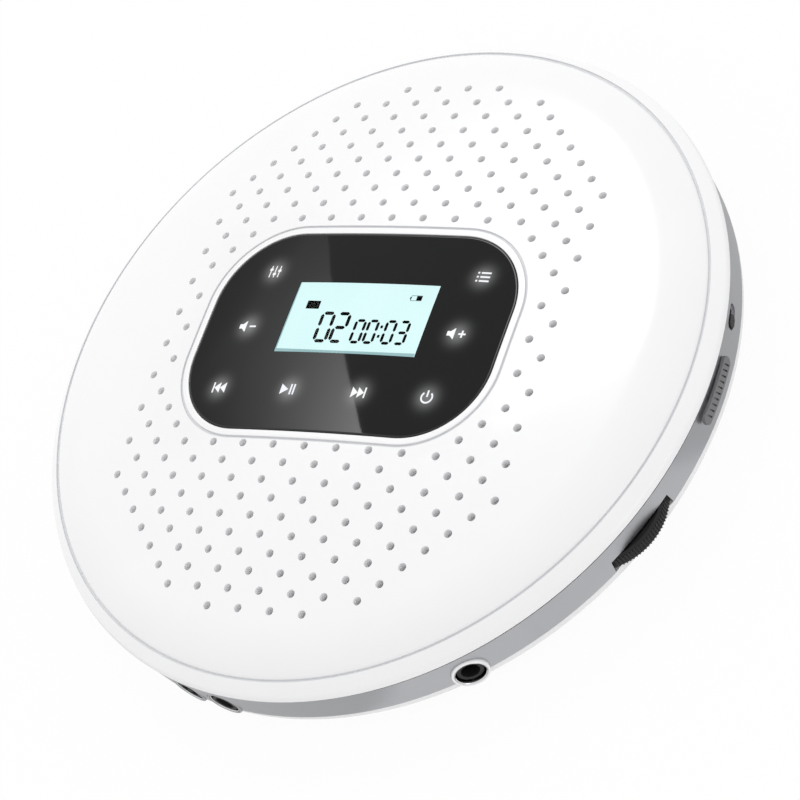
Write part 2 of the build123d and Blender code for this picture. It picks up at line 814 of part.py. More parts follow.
with BuildPart() as base_shell:
    with BuildSketch(Plane.XZ):
        with BuildLine():
            turn = EllipticalCenterArc(
                (bowl_centre_radius, bowl_centre_z),
                bowl_turn_reach,
                bowl_turn_rise,
                start_angle=-quarter_turn,
                arc_size=quarter_turn,
            )
            Polyline(
                turn @ 1,
                (side_radius, band_z),
                (spigot_outer, band_z),
                (spigot_outer, deck_bottom),
                (0, deck_bottom),
                (0, base_z),
                turn @ 0,
            )
        make_face()
    revolve(axis=Axis.Z)
    add(base_cavity.part, mode=Mode.SUBTRACT)
    add(rim_cuts.part, mode=Mode.SUBTRACT)
    with BuildSketch(Plane.XY.offset(base_z)):
        with Locations(*foot_spots):
            Circle(foot_radius + seat_gap)
    extrude(amount=foot_recess, mode=Mode.SUBTRACT)
    with BuildSketch(Plane.XY.offset(base_z)):
        with Locations(*case_screw_spots):
            Circle(screw_head_radius + seat_gap)
    extrude(amount=screw_head_recess + screw_head_height, mode=Mode.SUBTRACT)
    with BuildSketch(Plane.XY.offset(base_z)):
        with Locations(*case_screw_spots):
            Circle(case_screw_radius + fit_gap)
    extrude(amount=post_low - base_z, mode=Mode.SUBTRACT)
    with BuildSketch(Plane.XY.offset(base_z)):
        with Locations(polar(side_radius + scoop_curve - scoop_depth, dial_azimuth)):
            Circle(scoop_curve)
    extrude(amount=bowl_height, mode=Mode.SUBTRACT)
base_shell.part.label = "base_shell"
export_step(base_shell.part, "parts/base_shell.step")

with BuildPart() as feet:
    with Locations(*[Location((x, y, 0)) for x, y in foot_spots]):
        Cylinder(foot_radius, foot_height + foot_recess, align=(Align.CENTER, Align.CENTER, Align.MIN))
    chamfer(feet.faces().group_by(Axis.Z)[0].edges(), length=foot_height / 3)
feet.part.label = "feet"
export_step(feet.part, "parts/feet.step")

with BuildPart() as case_screws:
    with Locations(*[Location((x, y, base_z + screw_head_recess)) for x, y in case_screw_spots]):
        Cylinder(screw_head_radius, screw_head_height, align=(Align.CENTER, Align.CENTER, Align.MIN))
        Cylinder(
            case_screw_radius,
            well_floor_bottom - base_z - screw_head_recess - seat_gap,
            align=(Align.CENTER, Align.CENTER, Align.MIN),
        )
case_screws.part.label = "case_screws"
export_step(case_screws.part, "parts/case_screws.step")

with BuildPart() as side_band:
    with BuildSketch(Plane.XZ):
        with BuildLine():
            Polyline(
                (band_inner, band_z),
                (band_low_radius, band_z),
                (band_radius, band_top),
                (band_inner, band_top),
                close=True,
            )
        make_face()
    revolve(axis=Axis.Z)
    add(rim_cuts.part, mode=Mode.SUBTRACT)
    with BuildSketch(radial_plane(hold_azimuth, band_radius - hold_recess_depth, slide_z)):
        SlotOverall(hold_recess_length, hold_recess_height)
    extrude(amount=body_radius, mode=Mode.SUBTRACT)
side_band.part.label = "side_band"
export_step(side_band.part, "parts/side_band.step")

lid_switch_spot = polar(lid_switch_reach, lid_switch_azimuth)
with BuildPart() as disc_deck:
    with BuildSketch(Plane.XZ):
        with BuildLine():
            Polyline(
                (0, well_floor_bottom),
                (well_outer, well_floor_bottom),
                (well_outer, deck_bottom),
                (spigot_outer, deck_bottom),
                (spigot_outer, band_top),
                (well_radius + seam_gap, band_top),
                (well_radius, band_top - seam_gap),
                (well_radius, well_floor_z),
                (0, well_floor_z),
                close=True,
            )
        make_face()
    revolve(axis=Axis.Z)
    with BuildSketch(Plane.XY.offset(post_low)):
        with Locations(*case_screw_spots):
            Circle(post_radius)
            Circle(case_screw_radius, mode=Mode.SUBTRACT)
    extrude(amount=well_floor_bottom - post_low)
    with BuildSketch(Plane.XY.offset(well_floor_bottom)):
        Circle(turntable_boss_radius + 2 * free_gap)
        with Locations((0, lens_home - lens_block)):
            Rectangle(
                2 * lens_window_half,
                lens_window_end - lens_home + lens_block,
                align=(Align.CENTER, Align.MIN),
            )
    extrude(amount=well_floor_thickness, mode=Mode.SUBTRACT)
    with BuildSketch(Plane.XY.offset(well_floor_bottom)):
        with Locations((strike_x, latch_y + strike_foot / 2)):
            Rectangle(
                strike_thickness + 4 * free_gap,
                strike_width + strike_foot + 2 * free_gap,
            )
        with Locations(lid_switch_spot):
            Circle(plunger_radius + free_gap)
    extrude(amount=band_top, mode=Mode.SUBTRACT)
    with BuildSketch(Plane.XY.offset(notch_z)):
        with Locations((notch_x, 0)):
            Rectangle(body_radius, 2 * notch_half_length, align=(Align.MAX, Align.CENTER))
    extrude(amount=crown_z, mode=Mode.SUBTRACT)
disc_deck.part.label = "disc_deck"
export_step(disc_deck.part, "parts/disc_deck.step")

# ---------------------------------------------------------------- hinge
with BuildPart() as hinge_block:
    with BuildSketch(Plane.XY.offset(band_z)):
        with Locations((notch_x, 0)):
            Rectangle(hinge_block_depth, 2 * block_half_length, align=(Align.MIN, Align.CENTER))
        Circle(spigot_inner - seat_gap, mode=Mode.INTERSECT)
    extrude(amount=deck_bottom - band_z)
    with BuildSketch(Plane.XZ.offset(-barrel_half_length)):
        with Locations((hinge_x, hinge_z)):
            Circle(barrel_radius)
            Rectangle(notch_depth + weld, barrel_radius, align=(Align.MIN, Align.MAX))
        with Locations((hinge_x, hinge_z)):
            Circle(hinge_pin_radius, mode=Mode.SUBTRACT)
    extrude(amount=2 * barrel_half_length)
hinge_block.part.label = "hinge_block"
export_step(hinge_block.part, "parts/hinge_block.step")

pin_half_length = barrel_half_length + free_gap + knuckle_length - seat_gap
with BuildPart() as hinge_pin:
    with BuildSketch(Plane.XZ.offset(-pin_half_length)):
        with Locations((hinge_x, hinge_z)):
            Circle(hinge_pin_radius)
    extrude(amount=2 * pin_half_length)
hinge_pin.part.label = "hinge_pin"
export_step(hinge_pin.part, "parts/hinge_pin.step")


# ---------------------------------------------------------------- open slider with its latch hook
knob_inner = band_radius + 2 * seat_gap
knob_outer = knob_inner + slider_proud
knob_y = -slider_travel / 2     # half way along its travel the thumb piece is concentric with the band
foot_top = strike_low + strike_foot_height
hook_y = latch_y + strike_width / 2 + strike_foot + free_gap
hook_end = hook_y + hook_length

with BuildPart() as rib_grooves:
    with BuildSketch(Plane.YZ.offset(spigot_inner)):
        for n in range(slider_rib_count):
            along = (n - (slider_rib_count - 1) / 2) * slider_rib_pitch
            with Locations((latch_y + along, slide_z)):
                Rectangle(slider_rib_width, slider_rib_height, rotation=slider_rib_slant)
    extrude(amount=body_radius - spigot_inner + slider_proud)
    with BuildSketch(Plane.XY.offset(band_z)):
        with Locations((0, knob_y)):
            Circle(knob_outer - slider_rib_depth)
    extrude(amount=band_height, mode=Mode.SUBTRACT)

with BuildPart() as open_slider:
    # Thumb piece: a strip that follows the band just outside it
    with BuildSketch(Plane.XY.offset(slide_z - slider_height / 2)):
        with Locations((0, knob_y)):
            Circle(knob_outer)
            Circle(knob_inner, mode=Mode.SUBTRACT)
        with Locations((body_radius, latch_y)):
            Rectangle(body_radius, slider_length, mode=Mode.INTERSECT)
    extrude(amount=slider_height)
    fillet(open_slider.edges().filter_by(Axis.X), radius=slider_height / 2 - seat_gap)
    add(rib_grooves.part, mode=Mode.SUBTRACT)
    # Stem through the band, bar behind it, and the hook that holds the strike's foot
    with BuildSketch(Plane.YZ.offset(slider_bar_x)):
        with Locations((latch_y, slide_z)):
            Rectangle(slider_stem_length, slider_stem_height)
    extrude(amount=knob_inner + slider_proud / 2 - slider_bar_x)
    with BuildSketch(Plane.YZ.offset(slider_bar_x)):
        with Locations((latch_y - slider_stem_length / 2, slide_z)):
            Rectangle(
                hook_end - latch_y + slider_stem_length / 2,
                slider_bar_height,
                align=(Align.MIN, Align.CENTER),
            )
    extrude(amount=slider_bar_depth)
    with BuildSketch(Plane.YZ.offset(strike_x - strike_thickness / 2)):
        with Locations((hook_y, slide_z + slider_bar_height / 2)):
            Rectangle(
                hook_length,
                slide_z + slider_bar_height / 2 - foot_top - free_gap,
                align=(Align.MIN, Align.MAX),
            )
    extrude(amount=strike_thickness + free_gap + weld)
open_slider.part.label = "open_slider"
export_step(open_slider.part, "parts/open_slider.step")

# ---------------------------------------------------------------- hold slider and its switch
hold_floor = band_radius - hold_recess_depth
with BuildPart() as hold_slider:
    with BuildSketch(radial_plane(hold_azimuth, hold_floor + seat_gap, slide_z)):
        with Locations((-hold_travel / 2, 0)):
            SlotOverall(hold_knob_length, hold_knob_height)
    extrude(amount=hold_recess_depth)
    chamfer(hold_slider.faces().sort_by(Axis.X)[-1].edges(), length=seat_gap)
    with BuildSketch(radial_plane(hold_azimuth, spigot_inner - cut_margin - free_gap, slide_z)):
        with Locations((-hold_travel / 2, 0)):
            Rectangle(hold_stem_length, hold_stem_height)
    extrude(amount=hold_floor + 2 * seat_gap - spigot_inner + cut_margin + free_gap)
hold_slider.part.label = "hold_slider"
export_step(hold_slider.part, "parts/hold_slider.step")

with BuildPart() as hold_switch:
    switch_top = deck_bottom - seat_gap
    switch_low = slide_z - (switch_top - slide_z)
    reach = spigot_inner - free_gap
    with BuildSketch(radial_plane(hold_azimuth, reach - hold_switch_depth, slide_z)):
        Rectangle(hold_switch_length, switch_top - switch_low)
    extrude(amount=hold_switch_depth)
    with BuildSketch(radial_plane(hold_azimuth, reach, slide_z)):
        Rectangle(hold_stem_length + hold_travel + 2 * free_gap, hold_stem_height + 2 * seat_gap)
    extrude(amount=-2 * cut_margin, mode=Mode.SUBTRACT)
hold_switch.part.label = "hold_switch"
export_step(hold_switch.part, "parts/hold_switch.step")

# ---------------------------------------------------------------- lid switch, pressed by the closed lid
plunger_top = lid_ceiling(lid_switch_reach) - free_gap
lid_switch_top = deck_bottom - seat_gap
lid_switch_low = lid_switch_top - lid_switch_height
with BuildPart() as lid_switch:
    with BuildSketch(Plane.XY.offset(lid_switch_low)):
        with Locations(Location((*lid_switch_spot, 0), lid_switch_azimuth)):
            Rectangle(lid_switch_depth, lid_switch_length)
        with Locations(lid_switch_spot):
            Circle(plunger_radius + fit_gap, mode=Mode.SUBTRACT)
    extrude(amount=lid_switch_height)
lid_switch.part.label = "lid_switch"
export_step(lid_switch.part, "parts/lid_switch.step")

with BuildPart() as lid_plunger:
    with BuildSketch(Plane.XY.offset(lid_switch_low + plunger_travel + seat_gap)):
        with Locations(lid_switch_spot):
            Circle(plunger_radius)
    extrude(amount=plunger_top - lid_switch_low - plunger_travel - seat_gap)
    fillet(lid_plunger.faces().sort_by(Axis.Z)[-1].edges(), radius=plunger_radius / 2)
lid_plunger.part.label = "lid_plunger"
export_step(lid_plunger.part, "parts/lid_plunger.step")

# ---------------------------------------------------------------- main board and what it carries
with BuildPart() as main_board:
    with BuildSketch(Plane.XY.offset(board_z)):
        with BuildLine():
            span = main_board_end - main_board_start
            rim = CenterArc((0, 0), main_board_outer, main_board_start, span)
            inside = CenterArc((0, 0), main_board_inner, main_board_start, span)
            Line(rim @ 0, inside @ 0)
            Line(rim @ 1, inside @ 1)
        make_face()
        with Locations(*case_screw_spots):
            Circle(case_boss_radius + free_gap, mode=Mode.SUBTRACT)
    extrude(amount=board_thickness)
main_board.part.label = "main_board"
export_step(main_board.part, "parts/main_board.step")

with BuildPart() as control_chips:
    with BuildSketch(Plane.XY.offset(board_top)):
        for shift, azimuth, side in chip_places:
            with Locations(Location((*polar(board_middle + shift, azimuth), 0), azimuth)):
                Rectangle(side, side)
    extrude(amount=chip_height)
control_chips.part.label = "control_chips"
export_step(control_chips.part, "parts/control_chips.step")

with BuildPart() as capacitors:
    with BuildSketch(Plane.XY.offset(board_top)):
        with Locations(*[polar(capacitor_circle, azimuth) for azimuth in capacitor_azimuths]):
            Circle(capacitor_radius)
    extrude(amount=capacitor_height)
    fillet(capacitors.faces().group_by(Axis.Z)[-1].edges(), radius=free_gap)
capacitors.part.label = "capacitors"
export_step(capacitors.part, "parts/capacitors.step")


def make_jack(name, azimuth, pin_radius):
    """Round socket on the main board whose neck reaches out through the case."""
    mouth = side_radius + jack_mouth_inset
    with BuildPart() as jack:
        with BuildSketch(radial_plane(azimuth, jack_body_reach - jack_body_length, (board_top + jack_z) / 2)):
            Rectangle(jack_width, jack_z - board_top)
        extrude(amount=jack_body_length)
        with BuildSketch(radial_plane(azimuth, jack_body_reach - jack_body_length, jack_z)):
            Rectangle(jack_width, 2 * (well_floor_bottom - seat_gap - jack_z))
        extrude(amount=jack_body_length)
        with BuildSketch(radial_plane(azimuth, jack_body_reach - weld, jack_z)):
            Circle(jack_neck_radius)
        extrude(amount=mouth - jack_body_reach + weld)
        with BuildSketch(radial_plane(azimuth, mouth, jack_z)):
            Circle(jack_bore_radius)
            if pin_radius:
                Circle(pin_radius, mode=Mode.SUBTRACT)
        extrude(amount=-jack_bore_length, mode=Mode.SUBTRACT)
    jack.part.label = name
    export_step(jack.part, f"parts/{name}.step")


make_jack("headphone_jack", jack_azimuth, 0)
make_jack("line_jack", line_azimuth, 0)
make_jack("charge_jack", charge_azimuth, charge_pin_radius)

with BuildPart() as socket_bezels:
    for azimuth in socket_azimuths:
        with BuildSketch(radial_plane(azimuth, band_radius + bezel_proud, jack_z)):
            Circle(bezel_outer_radius)
            Circle(jack_neck_radius + fit_gap, mode=Mode.SUBTRACT)
        extrude(amount=-bezel_length)
socket_bezels.part.label = "socket_bezels"
export_step(socket_bezels.part, "parts/socket_bezels.step")

with BuildPart() as volume_pot:
    with BuildSketch(Plane.XY.offset(board_top)):
        pot_middle = dial_centre + (pot_depth_out - pot_depth_in) / 2
        with Locations(Location((*polar(pot_middle, dial_azimuth), 0), dial_azimuth)):
            Rectangle(pot_depth_in + pot_depth_out, pot_width)
    extrude(amount=pot_height)
    with BuildSketch(Plane.XY.offset(board_top)):
        with Locations(dial_spot):
            Circle(dial_bore_radius - fit_gap)
    extrude(amount=dial_top - free_gap - board_top)
volume_pot.part.label = "volume_pot"
export_step(volume_pot.part, "parts/volume_pot.step")

with BuildPart() as volume_dial:
    with BuildSketch(Plane.XY.offset(dial_z)):
        with BuildLine():
            knurl = [
                (
                    dial_spot[0] + (dial_radius - knurl_depth * (n % 2)) * cos(pi * n / knurl_count),
                    dial_spot[1] + (dial_radius - knurl_depth * (n % 2)) * sin(pi * n / knurl_count),
                )
                for n in range(2 * knurl_count)
            ]
            Polyline(*knurl, close=True)
        make_face()
        with Locations(dial_spot):
            Circle(dial_bore_radius, mode=Mode.SUBTRACT)
    extrude(amount=dial_thickness)
volume_dial.part.label = "volume_dial"
export_step(volume_dial.part, "parts/volume_dial.step")

# ---------------------------------------------------------------- battery
with BuildPart() as battery:
    with BuildSketch(Plane.XY.offset(board_z)):
        with Locations((battery_x, 0)):
            RectangleRounded(battery_width, battery_length, battery_corner)
    extrude(amount=battery_height)
battery.part.label = "battery"
export_step(battery.part, "parts/battery.step")

with BuildPart() as battery_pad:
    with BuildSketch(Plane.XY.offset(floor_z)):
        with Locations((battery_x, 0)):
            Rectangle(battery_width - 2 * battery_pad_inset, battery_length - 2 * battery_pad_inset)
    extrude(amount=floor_gap)
battery_pad.part.label = "battery_pad"
export_step(battery_pad.part, "parts/battery_pad.step")

# ---------------------------------------------------------------- disc drive
tooth_pitch = pi * gear_module
pinion_radius = gear_module * pinion_teeth / 2
wheel_radius = gear_module * wheel_teeth / 2
gear_spot = (rack_x + pinion_radius, gear_y)
sled_motor_spot = tuple(
    a + b for a, b in zip(gear_spot, polar(pinion_radius + wheel_radius, sled_motor_azimuth))
)
rack_low = sled_bottom + seat_gap
wheel_z = sled_bottom - free_gap - wheel_thickness
lug_low = sled_bottom + seat_gap
front_lug_y = sled_start - free_gap - lug_thickness
rear_lug_y = sled_far + free_gap

with BuildPart() as chassis:
    with BuildSketch(Plane.XY.offset(chassis_bottom)):
        with Locations((0, chassis_front)):
            Rectangle(
                2 * chassis_half_width,
                rear_lug_y + lug_thickness - chassis_front,
                align=(Align.CENTER, Align.MIN),
            )
        Circle(chassis_circle, mode=Mode.INTERSECT)
        with Locations(*damper_spots, gear_spot):
            Circle(ear_radius)
        with Locations(sled_motor_spot):
            Circle(sled_motor_radius + motor_ear_margin)
        with Locations((0, front_lug_y + lug_thickness)):
            Rectangle(
                2 * (rod_x + bushing_radius + 2 * free_gap),
                rear_lug_y - front_lug_y - lug_thickness,
                align=(Align.CENTER, Align.MIN),
                mode=Mode.SUBTRACT,
            )
        Circle(turntable_boss_radius + 2 * free_gap, mode=Mode.SUBTRACT)
        with Locations(*damper_spots):
            Circle(damper_neck_radius, mode=Mode.SUBTRACT)
    extrude(amount=chassis_thickness)
    for lug_y in (front_lug_y, rear_lug_y):
        with BuildSketch(Plane.XZ.offset(-lug_y - lug_thickness)):
            with Locations((-rod_x, lug_low), (rod_x, lug_low)):
                Rectangle(2 * lug_half_width, chassis_bottom - lug_low, align=(Align.CENTER, Align.MIN))
            with Locations((-rod_x, rod_z), (rod_x, rod_z)):
                Circle(rod_radius, mode=Mode.SUBTRACT)
        extrude(amount=lug_thickness)
    with BuildSketch(Plane.XY.offset(chassis_bottom)):
        with Locations(gear_spot):
            Circle(gear_stud_radius)
    extrude(amount=wheel_z - chassis_bottom)
chassis.part.label = "chassis"
export_step(chassis.part, "parts/chassis.step")

with BuildPart() as dampers:
    with BuildSketch(Plane.XY.offset(damper_low)):
        with Locations(*damper_spots):
            Circle(damper_radius)
    extrude(amount=damper_foot)
    with BuildSketch(Plane.XY.offset(chassis_bottom)):
        with Locations(*damper_spots):
            Circle(damper_neck_radius)
    extrude(amount=chassis_thickness + damper_cap)
    with BuildSketch(Plane.XY.offset(chassis_top)):
        with Locations(*damper_spots):
            Circle(damper_radius - damper_cap)
    extrude(amount=damper_cap)
    with BuildSketch(Plane.XY.offset(damper_low)):
        with Locations(*damper_spots):
            Circle(damper_pin_radius)
    extrude(amount=crown_z, mode=Mode.SUBTRACT)
dampers.part.label = "dampers"
export_step(dampers.part, "parts/dampers.step")

with BuildPart() as spindle_motor:
    with BuildSketch(Plane.XY.offset(motor_top)):
        Circle(motor_radius)
        Circle(shaft_radius + fit_gap, mode=Mode.SUBTRACT)
    extrude(amount=-motor_height)
    fillet(spindle_motor.faces().sort_by(Axis.Z)[0].edges().sort_by(SortBy.LENGTH)[-1], radius=free_gap)
spindle_motor.part.label = "spindle_motor"
export_step(spindle_motor.part, "parts/spindle_motor.step")

hub_top = disc_z + hub_height
claw_z = disc_top + claw_lift
claw_middle = claw_z + claw_thickness / 2
claw_back = hub_radius + claw_proud - claw_length
claw_azimuths = [90.0 + 360.0 * n / claw_count for n in range(claw_count)]
shaft_top = disc_z - free_gap
with BuildPart() as spindle_shaft:
    with BuildSketch(Plane.XY.offset(motor_top - motor_height + free_gap)):
        Circle(shaft_radius)
    extrude(amount=shaft_top - motor_top + motor_height - free_gap)
spindle_shaft.part.label = "spindle_shaft"
export_step(spindle_shaft.part, "parts/spindle_shaft.step")

with BuildPart() as turntable:
    with BuildSketch(Plane.XZ):
        with BuildLine():
            Polyline(
                (0, chassis_bottom + free_gap),
                (turntable_boss_radius, chassis_bottom + free_gap),
                (turntable_boss_radius, disc_z - turntable_thickness),
                (turntable_radius, disc_z - turntable_thickness),
                (turntable_radius, disc_z),
                (pad_outer_radius, disc_z),
                (pad_outer_radius, disc_z - pad_thickness),
                (pad_inner_radius, disc_z - pad_thickness),
                (pad_inner_radius, disc_z),
                (hub_radius, disc_z),
                (hub_radius, hub_top - hub_chamfer),
                (hub_radius - hub_chamfer, hub_top),
                (0, hub_top),
                close=True,
            )
        make_face()
    revolve(axis=Axis.Z)
    with BuildSketch(Plane.XY.offset(chassis_bottom)):
        Circle(shaft_radius)
    extrude(amount=shaft_top - chassis_bottom, mode=Mode.SUBTRACT)
    for azimuth in claw_azimuths:
        with BuildSketch(radial_plane(azimuth, claw_back - claw_proud - claw_gap, claw_middle)):
            Rectangle(claw_width + 2 * claw_gap, claw_thickness + 2 * claw_gap)
        extrude(amount=claw_length + claw_proud, mode=Mode.SUBTRACT)
turntable.part.label = "turntable"
export_step(turntable.part, "parts/turntable.step")

with BuildPart() as disc_pad:
    with BuildSketch(Plane.XY.offset(disc_z - pad_thickness)):
        Circle(pad_outer_radius)
        Circle(pad_inner_radius, mode=Mode.SUBTRACT)
    extrude(amount=pad_thickness)
disc_pad.part.label = "disc_pad"
export_step(disc_pad.part, "parts/disc_pad.step")

for number, azimuth in enumerate(claw_azimuths, start=1):
    with BuildPart() as hub_claw:
        with BuildSketch(radial_plane(azimuth, claw_back, claw_middle)):
            Rectangle(claw_width, claw_thickness)
        extrude(amount=claw_length)
        fillet(hub_claw.edges().filter_by(Axis.Z).sort_by_distance((0, 0, claw_z))[-2:], radius=claw_proud)
    hub_claw.part.label = f"hub_claw_{number}"
    export_step(hub_claw.part, f"parts/hub_claw_{number}.step")

with BuildPart() as guide_rods:
    with BuildSketch(Plane.XZ.offset(-rear_lug_y - lug_thickness)):
        with Locations((-rod_x, rod_z), (rod_x, rod_z)):
            Circle(rod_radius)
    extrude(amount=rear_lug_y + lug_thickness - front_lug_y)
guide_rods.part.label = "guide_rods"
export_step(guide_rods.part, "parts/guide_rods.step")


def tooth_widths():
    """Half widths of a tooth at its tip and at its root, on a 20 degree flank with backlash."""
    middle = 0.19 * tooth_pitch
    slope = 0.364 * gear_module
    return middle - slope * tooth_addendum, middle + slope * tooth_dedendum


def gear_outline(centre, teeth, first_tooth):
    """Corners of a spur gear about its centre, one tooth's middle standing at first_tooth degrees."""
    pitch_radius = gear_module * teeth / 2
    tip = pitch_radius + tooth_addendum * gear_module
    root = pitch_radius - tooth_dedendum * gear_module
    tip_half, root_half = tooth_widths()
    points = []
    for n in range(teeth):
        middle = radians(first_tooth + 360.0 * n / teeth)
        for radius, turn in (
            (root, -root_half / root),
            (tip, -tip_half / tip),
            (tip, tip_half / tip),
            (root, root_half / root),
        ):
            x, y = radius * cos(middle + turn), radius * sin(middle + turn)
            points.append((centre[0] + x, centre[1] + y))
    return points


with BuildPart() as pickup_sled:
    with BuildSketch(Plane.XZ.offset(-sled_end)):
        with Locations((0, sled_bottom)):
            Rectangle(2 * sled_half_width, sled_top - sled_bottom, align=(Align.CENTER, Align.MIN))
        with Locations((0, rod_z)):
            Rectangle(2 * rod_x, bushing_radius)
        with Locations((-rod_x, rod_z), (rod_x, rod_z)):
            Circle(bushing_radius)
        with Locations((0, sled_bottom)):
            Rectangle(
                2 * (rod_x + bushing_radius),
                2 * bushing_radius,
                align=(Align.CENTER, Align.MIN),
                mode=Mode.INTERSECT,
            )
        with Locations((-rod_x, rod_z), (rod_x, rod_z)):
            Circle(rod_radius + fit_gap, mode=Mode.SUBTRACT)
    extrude(amount=sled_end - sled_start)
    with BuildSketch(Plane.XY.offset(sled_top)):
        guard_x = lens_block / 2 + free_gap + lens_guard / 2
        with Locations((-guard_x, lens_home), (guard_x, lens_home)):
            Rectangle(lens_guard, lens_block)
    extrude(amount=focus_gap + lens_block_height)
    with BuildSketch(Plane.XY.offset(rack_low)):
        back = rack_x - tooth_dedendum * gear_module
        start = gear_y - sled_travel - rack_spare * tooth_pitch
        stop = gear_y + rack_spare * tooth_pitch
        with Locations((back - rack_back, start)):
            Rectangle(rack_back, stop - start, align=(Align.MIN, Align.MIN))
        with Locations((rod_x + (rod_radius + bushing_radius) / 2, sled_start)):
            Rectangle(
                back - rod_x - (rod_radius + bushing_radius) / 2 - rack_back / 2,
                sled_end - sled_start,
                align=(Align.MIN, Align.MIN),
            )
        tip_half, root_half = tooth_widths()
        tip_x = rack_x + tooth_addendum * gear_module
        count = int((gear_y - start) / tooth_pitch)
        for n in range(-count, 1):
            middle = gear_y + (n + 0.5) * tooth_pitch
            with BuildLine():
                Polyline(
                    (back, middle - root_half),
                    (tip_x, middle - tip_half),
                    (tip_x, middle + tip_half),
                    (back, middle + root_half),
                    close=True,
                )
            make_face()
    extrude(amount=rack_height)
pickup_sled.part.label = "pickup_sled"
export_step(pickup_sled.part, "parts/pickup_sled.step")

lens_block_z = sled_top + focus_gap
with BuildPart() as lens_holder:
    with BuildSketch(Plane.XY.offset(lens_block_z)):
        with Locations((0, lens_home)):
            Rectangle(lens_block, lens_block)
    extrude(amount=lens_block_height)
    chamfer(lens_holder.edges().filter_by(Axis.Z), length=free_gap)
lens_holder.part.label = "lens_holder"
export_step(lens_holder.part, "parts/lens_holder.step")

lens_z = lens_block_z + lens_block_height
with BuildPart() as objective_lens:
    with BuildSketch(Plane.XY.offset(lens_z)):
        with Locations((0, lens_home)):
            Circle(lens_radius)
    extrude(amount=lens_height)
    with Locations((0, lens_home, lens_z + lens_height - lens_curve)):
        Sphere(lens_curve, mode=Mode.INTERSECT)
objective_lens.part.label = "objective_lens"
export_step(objective_lens.part, "parts/objective_lens.step")

# The reduction gear's small pinion drives the rack; its wheel is driven by the sled motor
with BuildPart() as reduction_gear:
    with BuildSketch(Plane.XY.offset(wheel_z)):
        with BuildLine():
            Polyline(
                *gear_outline(gear_spot, wheel_teeth, sled_motor_azimuth),
                close=True,
            )
        make_face()
    extrude(amount=wheel_thickness)
    with BuildSketch(Plane.XY.offset(wheel_z + wheel_thickness)):
        with BuildLine():
            Polyline(
                *gear_outline(gear_spot, pinion_teeth, 180.0),
                close=True,
            )
        make_face()
    extrude(amount=rack_low + rack_height - wheel_z - wheel_thickness)
    with BuildSketch(Plane.XY.offset(wheel_z)):
        with Locations(gear_spot):
            Circle(gear_stud_radius + fit_gap)
    extrude(amount=chassis_bottom, mode=Mode.SUBTRACT)
reduction_gear.part.label = "reduction_gear"
export_step(reduction_gear.part, "parts/reduction_gear.step")

with BuildPart() as sled_motor:
    with BuildSketch(Plane.XY.offset(motor_top)):
        with Locations(sled_motor_spot):
            Circle(sled_motor_radius)
            Circle(motor_shaft_radius + fit_gap, mode=Mode.SUBTRACT)
    extrude(amount=-sled_motor_height)
sled_motor.part.label = "sled_motor"
export_step(sled_motor.part, "parts/sled_motor.step")

with BuildPart() as motor_pinion:
    with BuildSketch(Plane.XY.offset(wheel_z)):
        with BuildLine():
            half_tooth = 180.0 / pinion_teeth
            Polyline(
                *gear_outline(sled_motor_spot, pinion_teeth, sled_motor_azimuth + 180.0 + half_tooth),
                close=True,
            )
        make_face()
    extrude(amount=wheel_thickness)
    with BuildSketch(Plane.XY.offset(wheel_z)):
        with Locations(sled_motor_spot):
            Circle(motor_shaft_radius)
    extrude(amount=motor_top - free_gap - wheel_z)
motor_pinion.part.label = "motor_pinion"
export_step(motor_pinion.part, "parts/motor_pinion.step")
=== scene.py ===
"""Looks of the portable disc player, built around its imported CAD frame.

Lengths are in millimetres until a mesh is made, and turn to metres there. +Z is up, +X is the listener's
right and +Y points away from the listener, as in the frame.
"""
import json
import logging
from collections.abc import Callable, Iterable, Sequence
from dataclasses import dataclass, field
from enum import Enum
from math import atan2, cos, hypot, pi, radians, sin, sqrt, tan

import bmesh
import bpy
from mathutils import Matrix, Vector
from mathutils.geometry import delaunay_2d_cdt


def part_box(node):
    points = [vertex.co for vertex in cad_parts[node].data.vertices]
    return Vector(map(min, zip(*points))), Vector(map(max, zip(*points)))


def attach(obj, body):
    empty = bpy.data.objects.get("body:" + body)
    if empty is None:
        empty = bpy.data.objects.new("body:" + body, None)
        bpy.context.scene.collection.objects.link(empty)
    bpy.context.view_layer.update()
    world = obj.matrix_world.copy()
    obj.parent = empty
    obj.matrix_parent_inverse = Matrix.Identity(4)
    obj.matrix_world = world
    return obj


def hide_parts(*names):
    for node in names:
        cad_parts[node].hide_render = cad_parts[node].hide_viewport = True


MM = 0.001
UP = Vector((0, 0, 1))
SHARP_ANGLE = radians(32)
WELD = 0.002            # points of one piece closer than this become one
SEGMENTS = 192          # around the case
PATCH = 14.0            # size of the faint patches of shade that every finish has
CORNER_STEPS = 24       # steps around each corner of the panel's outline
LONG_SIDE = 4.0         # a straight run of that outline longer than this is split
SIDE_STEP = 2.4         # into steps of about this length

log = logging.getLogger("player")
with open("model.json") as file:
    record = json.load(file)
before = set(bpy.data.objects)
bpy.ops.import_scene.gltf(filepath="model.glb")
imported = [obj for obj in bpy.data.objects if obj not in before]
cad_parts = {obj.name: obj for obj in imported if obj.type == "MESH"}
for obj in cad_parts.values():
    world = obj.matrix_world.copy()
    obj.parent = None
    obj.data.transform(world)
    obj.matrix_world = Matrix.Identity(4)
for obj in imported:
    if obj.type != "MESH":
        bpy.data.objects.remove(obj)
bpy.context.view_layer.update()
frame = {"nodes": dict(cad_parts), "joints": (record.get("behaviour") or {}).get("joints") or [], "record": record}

Point = Sequence[float]
Loop = list[Vector]


